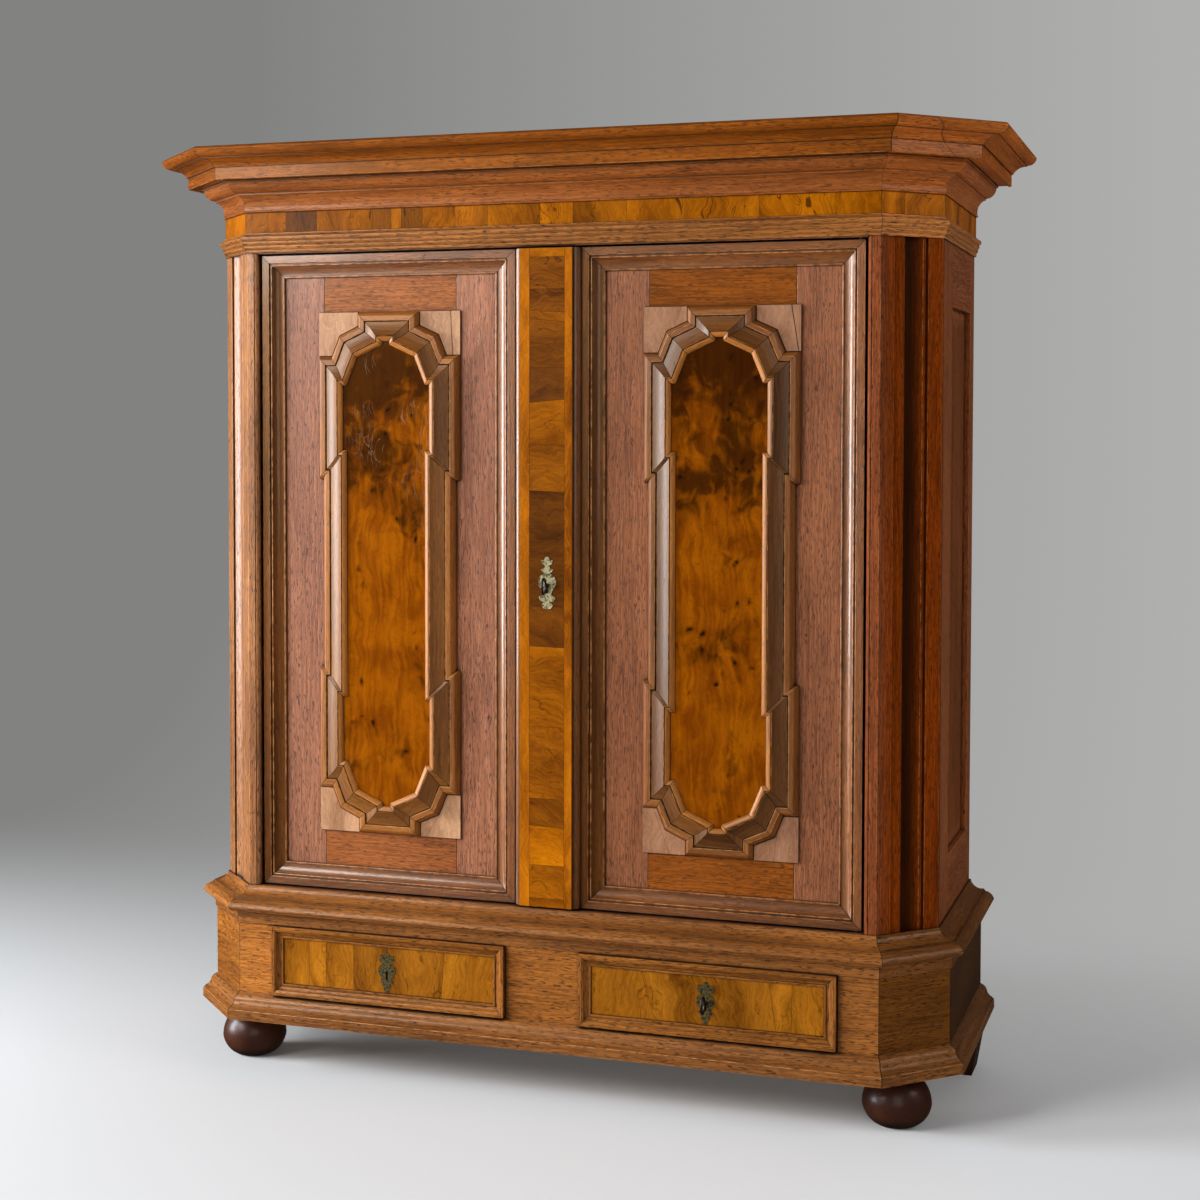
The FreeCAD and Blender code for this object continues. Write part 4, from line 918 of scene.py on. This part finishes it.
drawerPlate = Look(
    material=darkBrass, halfWidth=20.5 * mm, halfHeight=46 * mm, face=-256 * mm, keyDrop=0.0,
    outline=[(0, 1), (0.21, 0.91), (0.35, 0.79), (0.77, 0.83), (0.88, 0.58), (0.47, 0.42), (0.35, 0.36),
             (0.82, 0.3), (1, 0.09), (0.88, -0.12), (0.6, -0.26), (0.47, -0.32), (0.77, -0.43), (0.65, -0.54),
             (0.42, -0.57), (0.47, -0.65), (0.3, -0.81), (0.21, -0.94), (0, -1)],
    scrolls=[(0, 0.76, 2.6), (0.5, 0.66, 2.4), (0.64, 0.08, 3.0), (0.46, -0.44, 1.8), (0, -0.74, 2.2)],
    pins=[(0, 0.5, 1.5), (0, -0.56, 1.5)])
plateMetal = Look(thick=1.2 * mm, rim=1.1 * mm, rise=0.35 * mm, bore=3.8 * mm, slot=2.3 * mm, slotDrop=16.8 * mm,
                  boreSteps=6, weld=0.02 * mm, wire=0.55 * mm, wireSides=8, scrollSteps=16, pinSides=12, pinRows=8,
                  pinFlat=0.55, pinWear=0.6)


def addHoop(bm, start, centre, axis, wire, sides, steps):  # a ring of round wire
    hoop = bmesh.ops.create_circle(bm, segments=sides, radius=wire, matrix=Matrix.Translation(start))["verts"]
    edges = list({e for v in hoop for e in v.link_edges})
    bmesh.ops.spin(bm, geom=hoop + edges, cent=centre, axis=axis, angle=2 * math.pi, steps=steps, use_merge=True)


def addPlate(node, look):
    metal = plateMetal
    low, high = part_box(node)
    centre = (low + high) / 2
    centre.y = look.face
    bm = bmesh.new()
    addLayers(bm)
    keyZ = -look.keyDrop
    half = [(u * look.halfWidth, w * look.halfHeight) for u, w in look.outline]
    shoulder = keyZ - math.sqrt(metal.bore ** 2 - metal.slot ** 2)
    half += [(0, keyZ - metal.slotDrop), (metal.slot, keyZ - metal.slotDrop), (metal.slot, shoulder)]
    first = math.asin(metal.slot / metal.bore)
    for step in range(1, metal.boreSteps + 1):
        angle = first + (math.pi - first) * step / metal.boreSteps
        half.append((metal.bore * math.sin(angle), keyZ - metal.bore * math.cos(angle)))
    bm.faces.new([bm.verts.new((x, 0, z)) for x, z in half])
    bmesh.ops.mirror(bm, geom=bm.faces[:] + bm.edges[:] + bm.verts[:], axis="X", merge_dist=metal.weld)
    bmesh.ops.remove_doubles(bm, verts=bm.verts[:], dist=metal.weld)
    raised = bmesh.ops.extrude_face_region(bm, geom=bm.faces[:], use_keep_orig=True)["geom"]
    raised = [g for g in raised if isinstance(g, bmesh.types.BMVert)]
    bmesh.ops.translate(bm, verts=raised, vec=toFront * metal.thick)
    bmesh.ops.recalc_face_normals(bm, faces=bm.faces[:])
    front = [f for f in bm.faces if f.normal.y < -0.9]
    bmesh.ops.inset_region(bm, faces=front, thickness=metal.rim, depth=-metal.rise, use_even_offset=True)
    for u, w, radius in look.scrolls:
        for side in ((-1, 1) if u else (1,)):
            middle = Vector((side * u * look.halfWidth, -metal.thick, w * look.halfHeight))
            addHoop(bm, middle + toRight * radius * mm, middle, (0, 1, 0), metal.wire, metal.wireSides,
                    metal.scrollSteps)
    flag = edgeLayer(bm)
    for u, w, radius in look.pins:
        spot = Vector((u * look.halfWidth, -metal.thick, w * look.halfHeight))
        head = bmesh.ops.create_uvsphere(bm, u_segments=metal.pinSides, v_segments=metal.pinRows,
                                         radius=radius * mm)["verts"]
        bmesh.ops.scale(bm, vec=(1, metal.pinFlat, 1), verts=head)
        bmesh.ops.translate(bm, vec=spot, verts=head)
        for face in {f for v in head for f in v.link_faces}:
            face[flag] = metal.pinWear
    bmesh.ops.recalc_face_normals(bm, faces=bm.faces[:])
    bmesh.ops.translate(bm, verts=bm.verts[:], vec=centre)
    finishPiece(bm, node, look.material)


addPlate("door_escutcheon", doorPlate)
addPlate("left_drawer_escutcheon", drawerPlate)
addPlate("right_drawer_escutcheon", drawerPlate)


# Keys: shaft, collars and a bow of round wire; the bit hangs inside the lock

keyShape = Look(shaft=3.5 * mm, collar=5.5 * mm, collarLength=4 * mm, neck=4.55 * mm, neckFront=1.2 * mm,
                neckBack=0.2 * mm, sides=20, rimAngle=1.0, rimShare=0.25, bowDepth=30 * mm, bowHeight=39 * mm,
                wire=2.5 * mm, wireSides=14, bowSteps=40, bit=(4 * mm, 10 * mm, 13 * mm), tipLength=3.5 * mm)


def addKey(node):
    look = keyShape
    low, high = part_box(node)
    x = (low.x + high.x) / 2
    z = high.z - look.bowHeight / 2
    bm = bmesh.new()
    addLayers(bm)

    def turnedBar(radius, y0, y1):
        place = Matrix.Translation((x, (y0 + y1) / 2, z)) @ Matrix.Rotation(math.pi / 2, 4, "X")
        bar = bmesh.ops.create_cone(bm, cap_ends=True, segments=look.sides, radius1=radius, radius2=radius,
                                    depth=y1 - y0, matrix=place)["verts"]
        rims = [e for e in {e for v in bar for e in v.link_edges} if e.calc_face_angle(0.0) > look.rimAngle]
        bmesh.ops.bevel(bm, geom=rims, offset=look.rimShare * radius, affect="EDGES", segments=2, profile=0.5,
                        material=-1)

    root = low.y + look.bowDepth
    turnedBar(look.shaft, root - look.wire, high.y)
    turnedBar(look.collar, root, root + look.collarLength)
    turnedBar(look.neck, root - look.neckFront, root + look.neckBack)
    centre = Vector((x, low.y + look.bowDepth / 2, z))
    start = centre + toFront * (look.bowDepth / 2 - look.wire)
    before = set(bm.verts)
    addHoop(bm, start, centre, (1, 0, 0), look.wire, look.wireSides, look.bowSteps)
    bow = [v for v in bm.verts if v not in before]
    bmesh.ops.scale(bm, vec=(1, 1, look.bowHeight / look.bowDepth), verts=bow, space=Matrix.Translation(-centre))
    wide, deep, drop = look.bit
    bit = bmesh.ops.create_cube(bm, size=1.0)["verts"]
    bmesh.ops.scale(bm, vec=(wide, deep, drop + look.shaft), verts=bit)
    bitMiddle = (x, high.y - look.tipLength - deep / 2, z - (drop + look.shaft) / 2)
    bmesh.ops.translate(bm, vec=bitMiddle, verts=bit)
    bmesh.ops.recalc_face_normals(bm, faces=bm.faces[:])
    finishPiece(bm, node, iron)


for node in ("door_key", "drawer_key"):
    addKey(node)
print("escutcheons and keys made")


# Stage: floor with a curved-up backdrop, lights, camera

stageLook = Look(halfWidth=9.0, near=-9.0, bend=2.3, radius=1.8, top=8.0, steps=20,
                 floorLeft=paint(208, 208, 208), floorRight=paint(250, 250, 250), floorSpan=(-1.3, 1.3),
                 reflected=paint(58, 50, 44), wallLeft=paint(130, 130, 129), wallRight=paint(186, 186, 185),
                 fade=(-0.5, 2.2), leftX=-3.0, rightX=2.4)


def makeBackdrop(look):
    material, tree, shader = newMaterial("paleStage", Roughness=0.9)
    x, y, z = split(put(tree, "TexCoord", {}).outputs["Object"])
    # Painted light: the floor is painted lighter towards the right, where the cabinet's shadow falls
    ground = mix(ramp(x, *look.floorSpan), look.floorLeft, look.floorRight)
    tree.links.new(ground, shader["Base Color"])
    # The backdrop glows for the camera, painted darker to the left and lighter to the right, as light falls on a wall
    across = put(tree, "MapRange", {"Value": x, "From Min": look.leftX, "From Max": look.rightX}).outputs[0]
    glow = put(tree, "Emission", {"Color": mix(across, look.wallLeft, look.wallRight)})
    path = put(tree, "LightPath", {}).outputs
    seen = times(ramp(y, *look.fade), path["Is Camera Ray"])
    surface = mixShaders(seen, tree.nodes["Principled BSDF"], glow)
    # Reflections see the backdrop as a painted dark glow
    surface = mixShaders(path["Is Glossy Ray"], surface, put(tree, "Emission", {"Color": look.reflected}))
    behind = put(tree, "NewGeometry", {}).outputs["Backfacing"]
    whole = mixShaders(behind, surface, put(tree, "BsdfTransparent", {}))
    tree.links.new(whole.outputs[0], tree.nodes["Material Output"].inputs["Surface"])

    bm = bmesh.new()
    profile = [(look.near, 0)]
    for step in range(look.steps + 1):
        angle = math.pi / 2 * step / look.steps
        profile.append((look.bend + look.radius * math.sin(angle), look.radius * (1 - math.cos(angle))))
    profile.append((look.bend + look.radius, look.top))
    left, right = ([bm.verts.new((x, *spot)) for spot in profile] for x in (-look.halfWidth, look.halfWidth))
    for corners in zip(left, right, right[1:], left[1:]):
        bm.faces.new(corners)
    mesh = toMesh(bm, "backdrop")
    mesh.shade_smooth()
    mesh.materials.append(material)
    backdrop = addObject("backdrop", mesh)


lamps = dict(
    key=Look(place=(-3.4, -4.0, 3.2), aim=(0, -0.1, 1.1), size=(2.2, 2.2), power=224),
    sideSheen=Look(place=(-4.2, -1.6, 1.45), aim=(0, -0.2, 1.1), size=(1.4, 2.1), power=270, color=(0.88, 0.94, 1)),
    frontFill=Look(place=(2.2, -6.2, 2.4), aim=(0.4, -0.6, 0.7), size=(3.0, 3.0), power=54),
    rightFill=Look(place=(5.0, -0.7, 3.4), aim=(0.6, 0, 1.4), size=(2.0, 2.0), power=48))


def addLamp(name, look):
    lamp = bpy.data.lights.new(name, "AREA")
    lamp.shape = "RECTANGLE"
    lamp.size, lamp.size_y = look.size
    lamp.energy = look.power
    lamp.color = look.get("color", (1, 1, 1))
    holder = addObject(name, lamp)
    holder.location = look.place
    holder.rotation_euler = (Vector(look.aim) - Vector(look.place)).to_track_quat("-Z", "Y").to_euler()


cameraLook = Look(place=(1.4587, -4.2957, 1.4682), tilt=90 - 2.169, roll=-0.098, turn=18.385, lens=59.8,
                  sensor=36, shift=(0.0055, -0.0812))


def addCamera(look):
    camera = bpy.data.cameras.new("photoCamera")
    camera.sensor_width = look.sensor
    camera.lens = look.lens
    camera.shift_x, camera.shift_y = look.shift
    holder = addObject("photoCamera", camera)
    holder.location = look.place
    holder.rotation_euler = [math.radians(a) for a in (look.tilt, look.roll, look.turn)]
    bpy.context.scene.camera = holder


def addWorld(look):  # dim light all round; the camera sees a plain grey past the backdrop
    world = bpy.data.worlds.new("softRoom")
    world.use_nodes = True
    tree = world.node_tree
    light = tree.nodes["Background"]
    light.inputs["Color"].default_value = look.color
    light.inputs["Strength"].default_value = look.strength
    seen = put(tree, "Background", {"Color": look.seen, "Strength": 1.0})
    camera = put(tree, "LightPath", {}).outputs["Is Camera Ray"]
    both = mixShaders(camera, light, seen)
    tree.links.new(both.outputs[0], tree.nodes["World Output"].inputs["Surface"])
    bpy.context.scene.world = world


worldLook = Look(color=paint(200, 202, 205), strength=0.12, seen=paint(172, 172, 171))
makeBackdrop(stageLook)
for name, look in lamps.items():
    addLamp(name, look)
addCamera(cameraLook)
addWorld(worldLook)
bpy.context.scene.view_settings.view_transform = "Standard"
print("stage set")
